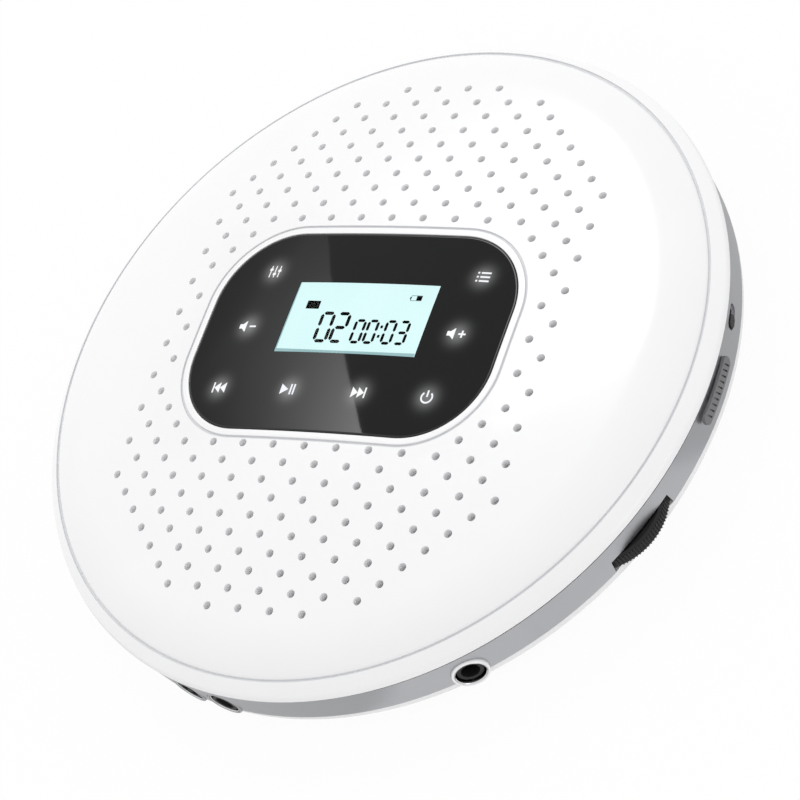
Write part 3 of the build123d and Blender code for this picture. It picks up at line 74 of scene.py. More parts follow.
# ---------------------------------------------------------------- nodes and finishes
def linear(colour: str) -> tuple[float, float, float, float]:
    """Turns an sRGB hex colour to linear RGBA.

    Args:
        colour: six hex digits after a hash.

    Returns:
        Red, green, blue and an alpha of 1.
    """
    parts = [int(colour[n:n + 2], 16) / 255 for n in (1, 3, 5)]
    red, green, blue = (p / 12.92 if p <= 0.04045 else ((p + 0.055) / 1.055) ** 2.4 for p in parts)
    return red, green, blue, 1.0


def add(tree: bpy.types.NodeTree, kind: str, inputs: dict | None = None,
        settings: dict | None = None) -> bpy.types.Node:
    """Adds a node with its settings, and fills or links its inputs.

    Args:
        tree: the tree that gets the node.
        kind: the node's type name.
        inputs: a value or another node's output for each input, by name or number.
        settings: the node's own properties.

    Returns:
        The new node.
    """
    made = tree.nodes.new(kind)
    for name, value in (settings or {}).items():
        setattr(made, name, value)
    for name, value in (inputs or {}).items():
        if isinstance(value, bpy.types.NodeSocket):
            tree.links.new(value, made.inputs[name])
        else:
            made.inputs[name].default_value = value
    return made


def combine(tree: bpy.types.NodeTree, operation: str, first: object, second: object) -> bpy.types.NodeSocket:
    """Returns the result of a sum on two values or outputs."""
    return add(tree, "ShaderNodeMath", {0: first, 1: second}, {"operation": operation}).outputs[0]


def noise(tree: bpy.types.NodeTree, place: bpy.types.NodeSocket, scale: float,
          detail: float = 2.0) -> bpy.types.NodeSocket:
    """Returns a soft noise, finer as its scale grows."""
    return add(tree, "ShaderNodeTexNoise", {"Vector": place, "Scale": scale, "Detail": detail}).outputs[0]


def stretch(tree: bpy.types.NodeTree, value: bpy.types.NodeSocket, least: float, most: float,
            start: float = 0.0, end: float = 1.0) -> bpy.types.NodeSocket:
    """Returns a value whose range from start to end becomes the range from least to most."""
    return add(tree, "ShaderNodeMapRange", {"Value": value, "From Min": start, "From Max": end,
                                            "To Min": least, "To Max": most}).outputs[0]


def blend(tree: bpy.types.NodeTree, share: bpy.types.NodeSocket, first: str,
          second: str) -> bpy.types.NodeSocket:
    """Returns two sRGB hex colours mixed by a share."""
    return add(tree, "ShaderNodeMix", {0: share, 6: linear(first), 7: linear(second)},
               {"data_type": "RGBA"}).outputs[2]


def new_material(name: str) -> tuple[bpy.types.Material, bpy.types.NodeTree, bpy.types.NodeSocket]:
    """Starts a material.

    Args:
        name: the finish's name.

    Returns:
        The material, its empty tree, and the Object coordinates in that tree.
    """
    made = bpy.data.materials.new(name)
    made.use_nodes = True
    made.node_tree.nodes.clear()
    return made, made.node_tree, add(made.node_tree, "ShaderNodeTexCoord").outputs["Object"]


def close_material(tree: bpy.types.NodeTree, shader: bpy.types.NodeSocket) -> None:
    """Links a shader to the material's output."""
    add(tree, "ShaderNodeOutputMaterial", {"Surface": shader})


class Pattern(Enum):
    """How the grain of a finish runs."""

    MOULDED = "even grain of a mould or a blasted sheet"
    TURNED = "rings about the spindle, as a lathe leaves them"
    WOVEN = "threads that cross at right angles"
    TRACED = "copper traces under a solder mask"


@dataclass(frozen=True)
class Surface:
    """A solid finish with grain, patches of shade and a roughness that follows the grain.

    Attributes:
        name: the real material and how its surface was made.
        colour: main colour.
        shade: colour of its faint patches or of its pattern's second tone.
        roughness: mean roughness.
        grain: size of the grain in mm.
        depth: height of the grain in mm.
        metallic: 1 for a bare metal.
        ior: index of refraction, left alone on a metal.
        coat: weight of a clear coat.
        anisotropic: how far the highlight is drawn out.
        pattern: how the grain runs.
    """

    name: str
    colour: str
    shade: str
    roughness: float
    grain: float
    depth: float
    metallic: float = 0.0
    ior: float = 1.5
    coat: float = 0.0
    anisotropic: float = 0.0
    pattern: Pattern = Pattern.MOULDED

    def grain_factor(self, tree: bpy.types.NodeTree, place: bpy.types.NodeSocket) -> bpy.types.NodeSocket:
        """Builds the grain.

        Args:
            tree: the material's tree.
            place: Object coordinates.

        Returns:
            The grain's height between 0 and 1.
        """
        fineness = 1 / (self.grain * MM)
        if self.pattern is Pattern.WOVEN:
            waves = [
                add(tree, "ShaderNodeTexWave", {"Vector": place, "Scale": fineness / 20, "Distortion": 0.4},
                    {"bands_direction": axis}).outputs["Fac"]
                for axis in ("X", "Y")
            ]
            return combine(tree, "MAXIMUM", *waves)
        if self.pattern is Pattern.TURNED:
            parts = add(tree, "ShaderNodeSeparateXYZ", {0: place}).outputs
            flat = add(tree, "ShaderNodeCombineXYZ", {0: parts[0], 1: parts[1]}).outputs[0]
            reach = add(tree, "ShaderNodeVectorMath", {0: flat}, {"operation": "LENGTH"}).outputs["Value"]
            place = add(tree, "ShaderNodeCombineXYZ", {0: reach, 2: parts[2]}).outputs[0]
        if self.pattern is Pattern.TRACED:
            cells = add(tree, "ShaderNodeTexVoronoi", {"Vector": place, "Scale": fineness},
                        {"distance": "CHEBYCHEV", "feature": "DISTANCE_TO_EDGE"})
            return combine(tree, "LESS_THAN", cells.outputs[0], 0.12)
        return noise(tree, place, fineness)

    def material(self) -> bpy.types.Material:
        """Builds the finish.

        Returns:
            The material.
        """
        made, tree, place = new_material(self.name)
        grain = self.grain_factor(tree, place)
        patches = noise(tree, place, 1 / (PATCH * MM))
        tone = grain if self.pattern in (Pattern.WOVEN, Pattern.TRACED) else patches
        colour = blend(tree, tone, self.colour, self.shade)
        rough = stretch(tree, grain, 0.85 * self.roughness, 1.15 * self.roughness, 0.3, 0.7)
        bump = add(tree, "ShaderNodeBump", {"Height": grain, "Strength": 1.0, "Distance": self.depth * MM})
        shader = add(tree, "ShaderNodeBsdfPrincipled", {
            "Base Color": colour, "Roughness": rough, "Normal": bump.outputs[0],
            "Metallic": self.metallic, "Coat Weight": self.coat, "Coat Roughness": 0.06,
            "Anisotropic": self.anisotropic,
        })
        if not self.metallic:
            shader.inputs["IOR"].default_value = self.ior
        close_material(tree, shader.outputs[0])
        return made


@dataclass(frozen=True)
class Glow:
    """A lit face that shows its own colour, a little uneven as a diffuser is.

    Attributes:
        name: the real material and what lights it.
        colour: colour at full light.
        edge: colour where less light arrives.
        strength: emission, where 1 shows the colour as written.
    """

    name: str
    colour: str
    edge: str
    strength: float = 1.0

    def material(self) -> bpy.types.Material:
        """Builds the finish.

        Returns:
            The material.
        """
        made, tree, place = new_material(self.name)
        spread = stretch(tree, noise(tree, place, 1 / (PATCH * MM), 1.0), 0.0, 1.0, 0.35, 0.75)
        colour = blend(tree, spread, self.colour, self.edge)
        shader = add(tree, "ShaderNodeBsdfPrincipled", {
            "Base Color": linear("#101214"), "Roughness": 0.6, "IOR": 1.01, "Emission Color": colour,
            "Emission Strength": self.strength,
        })
        close_material(tree, shader.outputs[0])
        return made


@dataclass(frozen=True)
class ClearPane:
    """Clear acrylic with polished faces, coated so that the display reads well under a lamp.

    Attributes:
        name: the real material.
        tint: its faint colour.
        ior: its index as the coating leaves it, which is what a reflection depends on.
    """

    name: str = "Clear_acrylic_coated"
    tint: str = "#fbfefe"
    ior: float = 1.13

    def material(self) -> bpy.types.Material:
        """Builds the finish.

        Returns:
            The material.
        """
        made, tree, place = new_material(self.name)
        rough = stretch(tree, noise(tree, place, 1 / (3 * MM)), 0.0, 0.03)
        shader = add(tree, "ShaderNodeBsdfPrincipled", {
            "Base Color": linear(self.tint), "Roughness": rough, "IOR": self.ior, "Transmission Weight": 1.0,
        })
        close_material(tree, shader.outputs[0])
        return made


@dataclass(frozen=True)
class PrintedPanel:
    """Acrylic printed black on its back, with light that leaks softly around each lit key.

    Attributes:
        keys: middle of each lit key, in mm.
        name: the real material and its print.
        colour: the print's colour.
        halo: colour of the light that leaks.
        spread: reach of that light in mm.
        strength: its emission beside the key.
    """

    keys: tuple[tuple[float, float, float], ...]
    name: str = "Black_printed_acrylic"
    colour: str = "#08090a"
    halo: str = "#f6f7f8"
    spread: float = 1.75
    strength: float = 0.2

    def material(self) -> bpy.types.Material:
        """Builds the finish.

        Returns:
            The material.
        """
        made, tree, place = new_material(self.name)
        glow = None
        for x, y, z in self.keys:
            spot = (x * MM, y * MM, z * MM)
            far = add(tree, "ShaderNodeVectorMath", {0: place, 1: spot},
                      {"operation": "DISTANCE"}).outputs["Value"]
            far = combine(tree, "MULTIPLY", far, 1 / (self.spread * MM))
            fall = combine(tree, "POWER", 0.5, combine(tree, "POWER", far, 2.0))
            glow = combine(tree, "ADD", glow, fall) if glow else fall
        light = combine(tree, "MULTIPLY", glow, self.strength)
        rough = stretch(tree, noise(tree, place, 1 / (6 * MM), 3.0), 0.015, 0.05)
        shader = add(tree, "ShaderNodeBsdfPrincipled", {
            "Base Color": linear(self.colour), "Roughness": rough, "IOR": 1.49,
            "Emission Color": linear(self.halo), "Emission Strength": light,
        })
        close_material(tree, shader.outputs[0])
        return made


# Gloss white ABS from a polished mould: bright, with a clean soft reflection
WHITE_SHELL = Surface("Gloss_white_ABS_moulded", "#f4f4f5", "#f1f1f2", 0.22, 1.6, 0.0012, ior=1.5, coat=0.25)
# Painted shade: the same ABS, greyer and duller, laid on the grooves to stand for the shade inside them
GROOVE_PAINTED_SHADE = Surface("White_ABS_groove_painted_shade", "#e2e3e5", "#dcdddf", 0.5, 0.8, 0.003, ior=1.5)
# Aluminium lacquer over a fine blasted band: satin grey whose sparkle shows as grain
SATIN_BAND = Surface("Satin_aluminium_lacquer_blasted", "#b6b7ba", "#adaeb1", 0.36, 0.22, 0.006, metallic=1.0)
# The same lacquer, a touch darker on the slider
SLIDER_METAL = Surface("Satin_aluminium_lacquer_darker", "#8e8e90", "#838385", 0.4, 0.25, 0.006,
                       metallic=1.0)
# Black ABS straight from a textured mould: matte, with pinprick highlights
BLACK_MOULDING = Surface("Black_ABS_textured", "#151517", "#1c1c1f", 0.5, 0.35, 0.012, ior=1.5)
# Soft-touch black acetal of the volume wheel: dull, so that only the ribs catch light
WHEEL_BLACK = Surface("Black_acetal_moulded", "#060607", "#0b0b0c", 0.46, 0.3, 0.008, ior=1.41)
# Charcoal ABS of the disc deck: spark-eroded texture that kills reflections under the disc
DECK_CHARCOAL = Surface("Charcoal_ABS_spark_textured", "#303134", "#38393d", 0.55, 0.4, 0.018, ior=1.5)
# Bright nickel of the socket's ring
RING_NICKEL = Surface("Nickel_plated_brass_turned", "#d9dadb", "#cdced0", 0.16, 0.3, 0.001, metallic=1.0)
# Near-black nylon inside the sockets, which swallows light
SOCKET_NYLON = Surface("Black_nylon_moulded", "#0a0a0b", "#111112", 0.6, 0.3, 0.01, ior=1.53)
# Ground and polished steel of pins, rods and screws
BRIGHT_STEEL = Surface("Ground_steel_polished", "#c5c6c8", "#b8b9bb", 0.2, 0.15, 0.002, metallic=1.0,
                       anisotropic=0.3)
# Drawn steel of the motor's can, with the rings that the lathe left
TURNED_STEEL = Surface("Drawn_steel_turned", "#b9babd", "#aaabae", 0.28, 0.18, 0.004, metallic=1.0,
                       pattern=Pattern.TURNED)
# Zinc-plated sheet: cool grey with faint clouds
ZINC_SHEET = Surface("Zinc_plated_sheet", "#aeb1b4", "#9a9ea3", 0.36, 0.6, 0.003, metallic=1.0)
# Green solder mask over copper, whose traces show a lighter green
SOLDER_MASK = Surface("Solder_mask_on_glass_epoxy", "#0b4a25", "#12693a", 0.3, 2.2, 0.03, ior=1.55,
                      pattern=Pattern.TRACED)
# Epoxy of the chips: flat black with a fine sand
CHIP_EPOXY = Surface("Epoxy_moulding_matte", "#1b1b1d", "#232326", 0.55, 0.2, 0.008, ior=1.55)
# Bare aluminium can
CAN_ALUMINIUM = Surface("Aluminium_can_drawn", "#cfd1d3", "#c2c4c6", 0.22, 0.3, 0.002, metallic=1.0)
# Heat-shrink film around the cell: blue, glossy, a little wrinkled
CELL_WRAP = Surface("PVC_shrink_film_blue", "#2c4f86", "#254373", 0.25, 2.5, 0.02, ior=1.53)
# Closed-cell foam: dark, with open pores at its cut face
FOAM = Surface("EVA_foam_cut", "#2a2a2c", "#343436", 0.85, 0.5, 0.06, ior=1.45)
# Grey rubber of feet, dampers and disc pad: dull and faintly dusty
GREY_RUBBER = Surface("Silicone_rubber_grey", "#6f7174", "#7c7e81", 0.65, 0.4, 0.015, ior=1.41)
# Woven polyester behind the sound holes: pale grey threads
SPEAKER_CLOTH = Surface("Polyester_woven_pale_grey", "#c4c5c7", "#d4d5d7", 0.8, 0.45, 0.04, ior=1.5,
                        pattern=Pattern.WOVEN)
# Polyester film that carries the touch sensor
SENSOR_FILM = Surface("PET_film_printed", "#141416", "#1b1b1e", 0.35, 1.2, 0.002, ior=1.57)
# Natural acetal of gears, claws and plunger: milky, slightly waxy
NATURAL_ACETAL = Surface("Natural_acetal_moulded", "#e4e1d6", "#dcd8cb", 0.34, 0.5, 0.004, ior=1.48)
# Coated glass of the pickup's lens: dark violet sheen
LENS_GLASS = Surface("Coated_lens_glass", "#26304e", "#322a5a", 0.05, 1.0, 0.0, ior=1.52, coat=0.6)
# Backlit liquid crystal face: pale cyan
LCD_LIGHT = Glow("Liquid_crystal_backlit", "#e3ffff", "#dcfafb", 1.0)
# Painted shade: a darker, dimmer cyan strip along the display's left and near edges, standing for the shade at its
# recessed edge
LCD_EDGE_PAINTED_SHADE = Glow("Liquid_crystal_edge_painted_shade", "#a9cdd0", "#9cc0c4", 0.9)
# Key symbols: clear slots in the print with a white lamp behind
KEY_LIGHT = Glow("Key_symbol_backlit", "#ffffff", "#f4f8ff", 1.0)
# Dark segments of the liquid crystal, laminated so that no face of their own reflects
LCD_SEGMENT = Surface("Liquid_crystal_segment", "#030404", "#050606", 0.6, 1.0, 0.0, ior=1.01)


def bare_nodes() -> dict[str, Surface | ClearPane]:
    """Pairs each material slot of the record with the finish that its CAD nodes get.

    Returns:
        The finish of each slot.
    """
    return {
        "white_shell": WHITE_SHELL, "silver_band": SATIN_BAND, "black_plastic": BLACK_MOULDING,
        "white_knob": WHITE_SHELL, "deck_plastic": DECK_CHARCOAL, "socket_ring": RING_NICKEL,
        "socket_plastic": SOCKET_NYLON, "steel": BRIGHT_STEEL, "chassis_steel": ZINC_SHEET,
        "board": SOLDER_MASK, "chip": CHIP_EPOXY, "capacitor_can": CAN_ALUMINIUM,
        "battery_wrap": CELL_WRAP, "foam": FOAM, "foot_rubber": GREY_RUBBER, "cloth": SPEAKER_CLOTH,
        "display": SENSOR_FILM, "film": SENSOR_FILM, "black_glass": ClearPane(), "lens_glass": LENS_GLASS,
        "gear_plastic": NATURAL_ACETAL, "drive_plastic": BLACK_MOULDING,
    }


class Paint:
    """Builds each finish once and hands it out."""

    made: dict[str, bpy.types.Material] = {}

    @classmethod
    def of(cls, finish: Surface | Glow | ClearPane | PrintedPanel) -> bpy.types.Material:
        """Returns the finish's material, and builds it the first time."""
        if finish.name not in cls.made:
            cls.made[finish.name] = finish.material()
        return cls.made[finish.name]


# ---------------------------------------------------------------- meshes
def placed(name: str, data: bpy.types.ID) -> bpy.types.Object:
    """Returns a new object in the scene that holds a mesh, a lamp or a camera."""
    made = bpy.data.objects.new(name, data)
    bpy.context.scene.collection.objects.link(made)
    return made


class Shell:
    """Points in millimetres and faces, gathered until they become one mesh."""

    def __init__(self) -> None:
        """Starts with nothing."""
        self.points: list[Vector] = []
        self.faces: list[tuple[int, ...]] = []
        self.paints: list[int] = []

    def put(self, points: Iterable[Point], faces: Iterable[Sequence[int]], paint: int = 0) -> None:
        """Adds points and the faces between them.

        Args:
            points: places in mm.
            faces: indices into those points.
            paint: number of the finish.
        """
        start = len(self.points)
        self.points += [Vector(p) for p in points]
        for face in faces:
            self.faces.append(tuple(start + n for n in face))
            self.paints.append(paint)

    def strips(self, loops: Sequence[Loop], ring: bool = False, paint: int = 0) -> None:
        """Joins closed loops of equal length with quads.

        Args:
            loops: the loops in order.
            ring: whether the last loop joins the first one.
            paint: number of the finish.
        """
        size = len(loops[0])
        pairs = len(loops) if ring else len(loops) - 1
        faces = [
            (a * size + n, a * size + (n + 1) % size, (a + 1) % len(loops) * size + (n + 1) % size,
             (a + 1) % len(loops) * size + n)
            for a in range(pairs) for n in range(size)
        ]
        self.put([p for loop in loops for p in loop], faces, paint)

    def turned(self, profile: Sequence[Point], place: Matrix | None = None, segments: int = SEGMENTS,
               ring: bool = False, paint: int = 0) -> None:
        """Turns a profile about an axis; ends on the axis close as fans.

        Args:
            profile: radius and height of each point.
            place: where the axis stands, or None for the spindle.
            segments: steps around.
            ring: whether the profile closes on itself.
            paint: number of the finish.
        """
        place = place or Matrix.Identity(4)
        loops = []
        for radius, height in profile:
            if radius > 0:
                loops.append([place @ Vector((radius * cos(t), radius * sin(t), height))
                              for t in turns(segments)])
        self.strips(loops, ring, paint)
        for loop, (radius, height) in ((loops[0], profile[0]), (loops[-1], profile[-1])):
            if radius == 0:
                middle = place @ Vector((0, 0, height))
                self.put([*loop, middle], [(n, (n + 1) % segments, segments) for n in range(segments)], paint)

    def prism(self, outline: Sequence[Vector], rise: Vector, paint: int = 0) -> None:
        """Adds the closed solid between a flat outline and its copy.

        Args:
            outline: the lower outline.
            rise: from the lower outline to the upper one.
            paint: number of the finish.
        """
        size = len(outline)
        upper = [p + rise for p in outline]
        sides = [(n, (n + 1) % size, size + (n + 1) % size, size + n) for n in range(size)]
        self.put([*outline, *upper], [*sides, tuple(range(size)), tuple(range(size, 2 * size))], paint)

    def sheet(self, loops: Sequence[Loop], inner: Sequence[Vector], keep: Callable[[float, float], bool],
              paint_of: Callable[[float, float], int] | None = None) -> None:
        """Fills the space between loops, seen from above, with triangles.

        Args:
            loops: closed loops that the triangles follow.
            inner: more points for the triangles to use.
            keep: whether a triangle whose middle is at x, y stays.
            paint_of: number of the finish at x, y.
        """
        points = [p for loop in loops for p in loop] + list(inner)
        edges, start = [], 0
        for loop in loops:
            size = len(loop)
            edges += [(start + n, start + (n + 1) % size) for n in range(size)]
            start += size
        found = delaunay_2d_cdt([p.xy for p in points], edges, [], 0, 1e-6)
        order = [sources[0] for sources in found[3]]
        for face in found[2]:
            x = sum(found[0][n].x for n in face) / 3
            y = sum(found[0][n].y for n in face) / 3
            if keep(x, y):
                self.put([points[order[n]] for n in face], [(0, 1, 2)], paint_of(x, y) if paint_of else 0)

    def piece(self, name: str, *finishes: bpy.types.Material, sharp: float = SHARP_ANGLE) -> bpy.types.Object:
        """Makes the object: points welded, faces outward, smooth but for sharp edges.

        Args:
            name: the piece's name.
            finishes: its materials, in the order of the paint numbers.
            sharp: edges that turn by more than this stay crisp.

        Returns:
            The object, at the origin.
        """
        mesh = bpy.data.meshes.new(name)
        mesh.from_pydata([p * MM for p in self.points], [], self.faces)
        mesh.polygons.foreach_set("material_index", self.paints)
        for finish in finishes:
            mesh.materials.append(finish)
        tidy(mesh, sharp)
        return placed(name, mesh)


def tidy(mesh: bpy.types.Mesh, sharp: float = SHARP_ANGLE) -> None:
    """Welds a mesh, turns its faces outward and shades it smooth up to an angle."""
    work = bmesh.new()
    work.from_mesh(mesh)
    bmesh.ops.remove_doubles(work, verts=work.verts, dist=WELD * MM)
    bmesh.ops.dissolve_degenerate(work, edges=work.edges, dist=WELD * MM / 4)
    bmesh.ops.recalc_face_normals(work, faces=work.faces)
    work.to_mesh(mesh)
    work.free()
    mesh.shade_smooth()
    mesh.set_sharp_from_angle(angle=sharp)
    mesh.update()


def turns(count: int) -> list[float]:
    """Returns evenly spaced angles of a full turn."""
    return [2 * pi * n / count for n in range(count)]


def polar(radius: float, azimuth: float, height: float = 0.0) -> Vector:
    """Returns the point at a radius, an azimuth in degrees and a height."""
    return Vector((radius * cos(radians(azimuth)), radius * sin(radians(azimuth)), height))


def outward(azimuth: float, reach: float, height: float) -> Matrix:
    """Frame on the side of the case: its Z faces outward and its Y upward.

    Args:
        azimuth: degrees around the case.
        reach: distance from the spindle.
        height: height of its origin.

    Returns:
        The frame as a matrix.
    """
    away = polar(1, azimuth)
    along = Vector((-away.y, away.x, 0))
    turn = Matrix((along, UP, away)).transposed().to_4x4()
    return Matrix.Translation(polar(reach, azimuth, height)) @ turn


def flat(points: Sequence[Point], height: float = 0.0) -> Loop:
    """Lifts points of the plan to one height."""
    return [Vector((p[0], p[1], height)) for p in points]


def rectangle(length: float, width: float, x: float = 0.0, y: float = 0.0) -> list[tuple[float, float]]:
    """Returns the corners of a rectangle about a middle."""
    return [(x + a * length / 2, y + b * width / 2) for a, b in ((-1, -1), (1, -1), (1, 1), (-1, 1))]


def low(node: str) -> Vector:
    """Returns a CAD node's lowest corner in mm."""
    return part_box(node)[0] / MM


def high(node: str) -> Vector:
    """Returns a CAD node's highest corner in mm."""
    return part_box(node)[1] / MM


def dress(piece: bpy.types.Object, body: str, slot: str, *replaced: str) -> None:
    """Ties a finished piece to its body and hides the CAD nodes that it stands for.

    Args:
        piece: the finished object.
        body: the CAD body that it rides on.
        slot: not used.
        replaced: CAD nodes that it replaces.
    """
    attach(piece, body)
    if replaced:
        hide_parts(*replaced)
    log.info("%s rides on %s, %d faces", piece.name, body, len(piece.data.polygons))


# ---------------------------------------------------------------- repeated shapes
def scatter_tree() -> bpy.types.NodeTree:
    """Builds the tree that sets one shape at every point of a mesh.

    Returns:
        The tree, with the inputs Shape and Finish.
    """
    if "scatter" in bpy.data.node_groups:
        return bpy.data.node_groups["scatter"]
    tree = bpy.data.node_groups.new("scatter", "GeometryNodeTree")
    for name, kind in (("Points", "NodeSocketGeometry"), ("Shape", "NodeSocketObject"),
                       ("Finish", "NodeSocketMaterial")):
        tree.interface.new_socket(name=name, in_out="INPUT", socket_type=kind)
    tree.interface.new_socket(name="Pieces", in_out="OUTPUT", socket_type="NodeSocketGeometry")
    given = add(tree, "NodeGroupInput").outputs
    shape = add(tree, "GeometryNodeObjectInfo", {"Object": given["Shape"]}).outputs["Geometry"]
    angles = add(tree, "GeometryNodeInputNamedAttribute", {"Name": "turn"}, {"data_type": "FLOAT_VECTOR"})
    turn = add(tree, "FunctionNodeEulerToRotation", {0: angles.outputs["Attribute"]}).outputs[0]
    copies = add(tree, "GeometryNodeInstanceOnPoints",
                 {"Points": given["Points"], "Instance": shape, "Rotation": turn})
    real = add(tree, "GeometryNodeRealizeInstances", {0: copies.outputs[0]}).outputs[0]
    dressed = add(tree, "GeometryNodeSetMaterial", {"Geometry": real, "Material": given["Finish"]}).outputs[0]
    add(tree, "NodeGroupOutput", {0: dressed})
    return tree


def scatter(name: str, shape: bpy.types.Object, places: Sequence[Matrix],
            finish: bpy.types.Material) -> bpy.types.Object:
    """Sets copies of a shape at many places and makes them one plain mesh.

    Args:
        name: the new piece's name.
        shape: the object to copy, which is deleted afterwards.
        places: frame of each copy, in mm.
        finish: material of the copies.

    Returns:
        The piece, at the origin and with no modifier.
    """
    mesh = bpy.data.meshes.new(name)
    mesh.from_pydata([place.translation * MM for place in places], [], [])
    attribute = mesh.attributes.new("turn", "FLOAT_VECTOR", "POINT")
    angles = [part for place in places for part in place.to_euler()]
    attribute.data.foreach_set("vector", angles)
    piece = placed(name, mesh)
    modifier = piece.modifiers.new("scatter", "NODES")
    modifier.node_group = scatter_tree()
    values = {"Shape": shape, "Finish": finish}
    for item in modifier.node_group.interface.items_tree:
        if item.in_out == "INPUT" and item.name in values:
            modifier[item.identifier] = values[item.name]
    plain(piece)
    bpy.data.objects.remove(shape)
    return piece


def plain(piece: bpy.types.Object) -> None:
    """Applies every modifier of a piece by copying its evaluated mesh."""
    bpy.context.view_layer.update()
    result = piece.evaluated_get(bpy.context.evaluated_depsgraph_get())
    mesh = bpy.data.meshes.new_from_object(result)
    piece.modifiers.clear()
    piece.data = mesh


def join(name: str, pieces: Sequence[bpy.types.Object], sharp: float = SHARP_ANGLE) -> bpy.types.Object:
    """Welds pieces of one finish into a single piece.

    Args:
        name: the new piece's name.
        pieces: what it is made of; they are deleted.
        sharp: edges that turn by more than this stay crisp.

    Returns:
        The new piece.
    """
    work = bmesh.new()
    for piece in pieces:
        work.from_mesh(piece.data)
    mesh = bpy.data.meshes.new(name)
    work.to_mesh(mesh)
    work.free()
    for material in pieces[0].data.materials:
        mesh.materials.append(material)
    for piece in pieces:
        bpy.data.objects.remove(piece)
    tidy(mesh, sharp)
    return placed(name, mesh)


# ---------------------------------------------------------------- the dome and its panel outline
@dataclass(frozen=True)
class Dome:
    """The sphere of the lid's crown, from which everything on top of the lid is measured.

    Attributes:
        curve: its radius.
        crown: height of its top.
    """

    curve: float
    crown: float

    def point(self, x: float, y: float, depth: float = 0.0) -> Vector:
        """Returns the point above x, y on the crown, or on the surface depth below it."""
        return Vector((x, y, self.crown - self.curve + sqrt((self.curve - depth) ** 2 - x * x - y * y)))

    def place(self, x: float, y: float, depth: float = 0.0) -> Matrix:
        """Returns the frame at a point of the crown whose Z faces straight out of it."""
        spot = self.point(x, y, depth)
        away = spot - Vector((0, 0, self.crown - self.curve))
        return Matrix.Translation(spot) @ UP.rotation_difference(away).to_matrix().to_4x4()


@dataclass(frozen=True)
class PanelOutline:
    """Rounded rectangle of the display panel.

    Attributes:
        length: its length along X.
        width: its width along Y.
        corner: radius of its corners.
        y: its middle.
    """

    length: float
    width: float
    corner: float
    y: float

    def distance(self, x: float, y: float) -> float:
        """Returns how far a point lies outside the outline, negative inside it."""
        across = abs(x) - (self.length / 2 - self.corner)
        along = abs(y - self.y) - (self.width / 2 - self.corner)
        return hypot(max(across, 0), max(along, 0)) + min(max(across, along), 0) - self.corner

    def loop(self, offset: float, lift: Callable[[float, float], Vector]) -> Loop:
        """Walks around the outline at an offset.

        Args:
            offset: distance outside the outline.
            lift: gives the point above x, y.

        Returns:
            The loop, with as many points at every offset.
        """
        radius = self.corner + offset
        spots = []
        for quarter, (a, b) in enumerate(((1, 1), (-1, 1), (-1, -1), (1, -1))):
            middle = (a * (self.length / 2 - self.corner), self.y + b * (self.width / 2 - self.corner))
            for step in range(CORNER_STEPS + 1):
                angle = pi / 2 * (quarter + step / CORNER_STEPS)
                spots.append((middle[0] + radius * cos(angle), middle[1] + radius * sin(angle)))
        closed = []
        for (x, y), (next_x, next_y) in zip(spots, spots[1:] + spots[:1]):
            run = hypot(next_x - x, next_y - y)
            parts = round(run / SIDE_STEP) if run > LONG_SIDE else 1
            closed += [lift(x + (next_x - x) * n / parts, y + (next_y - y) * n / parts) for n in range(parts)]
        return closed


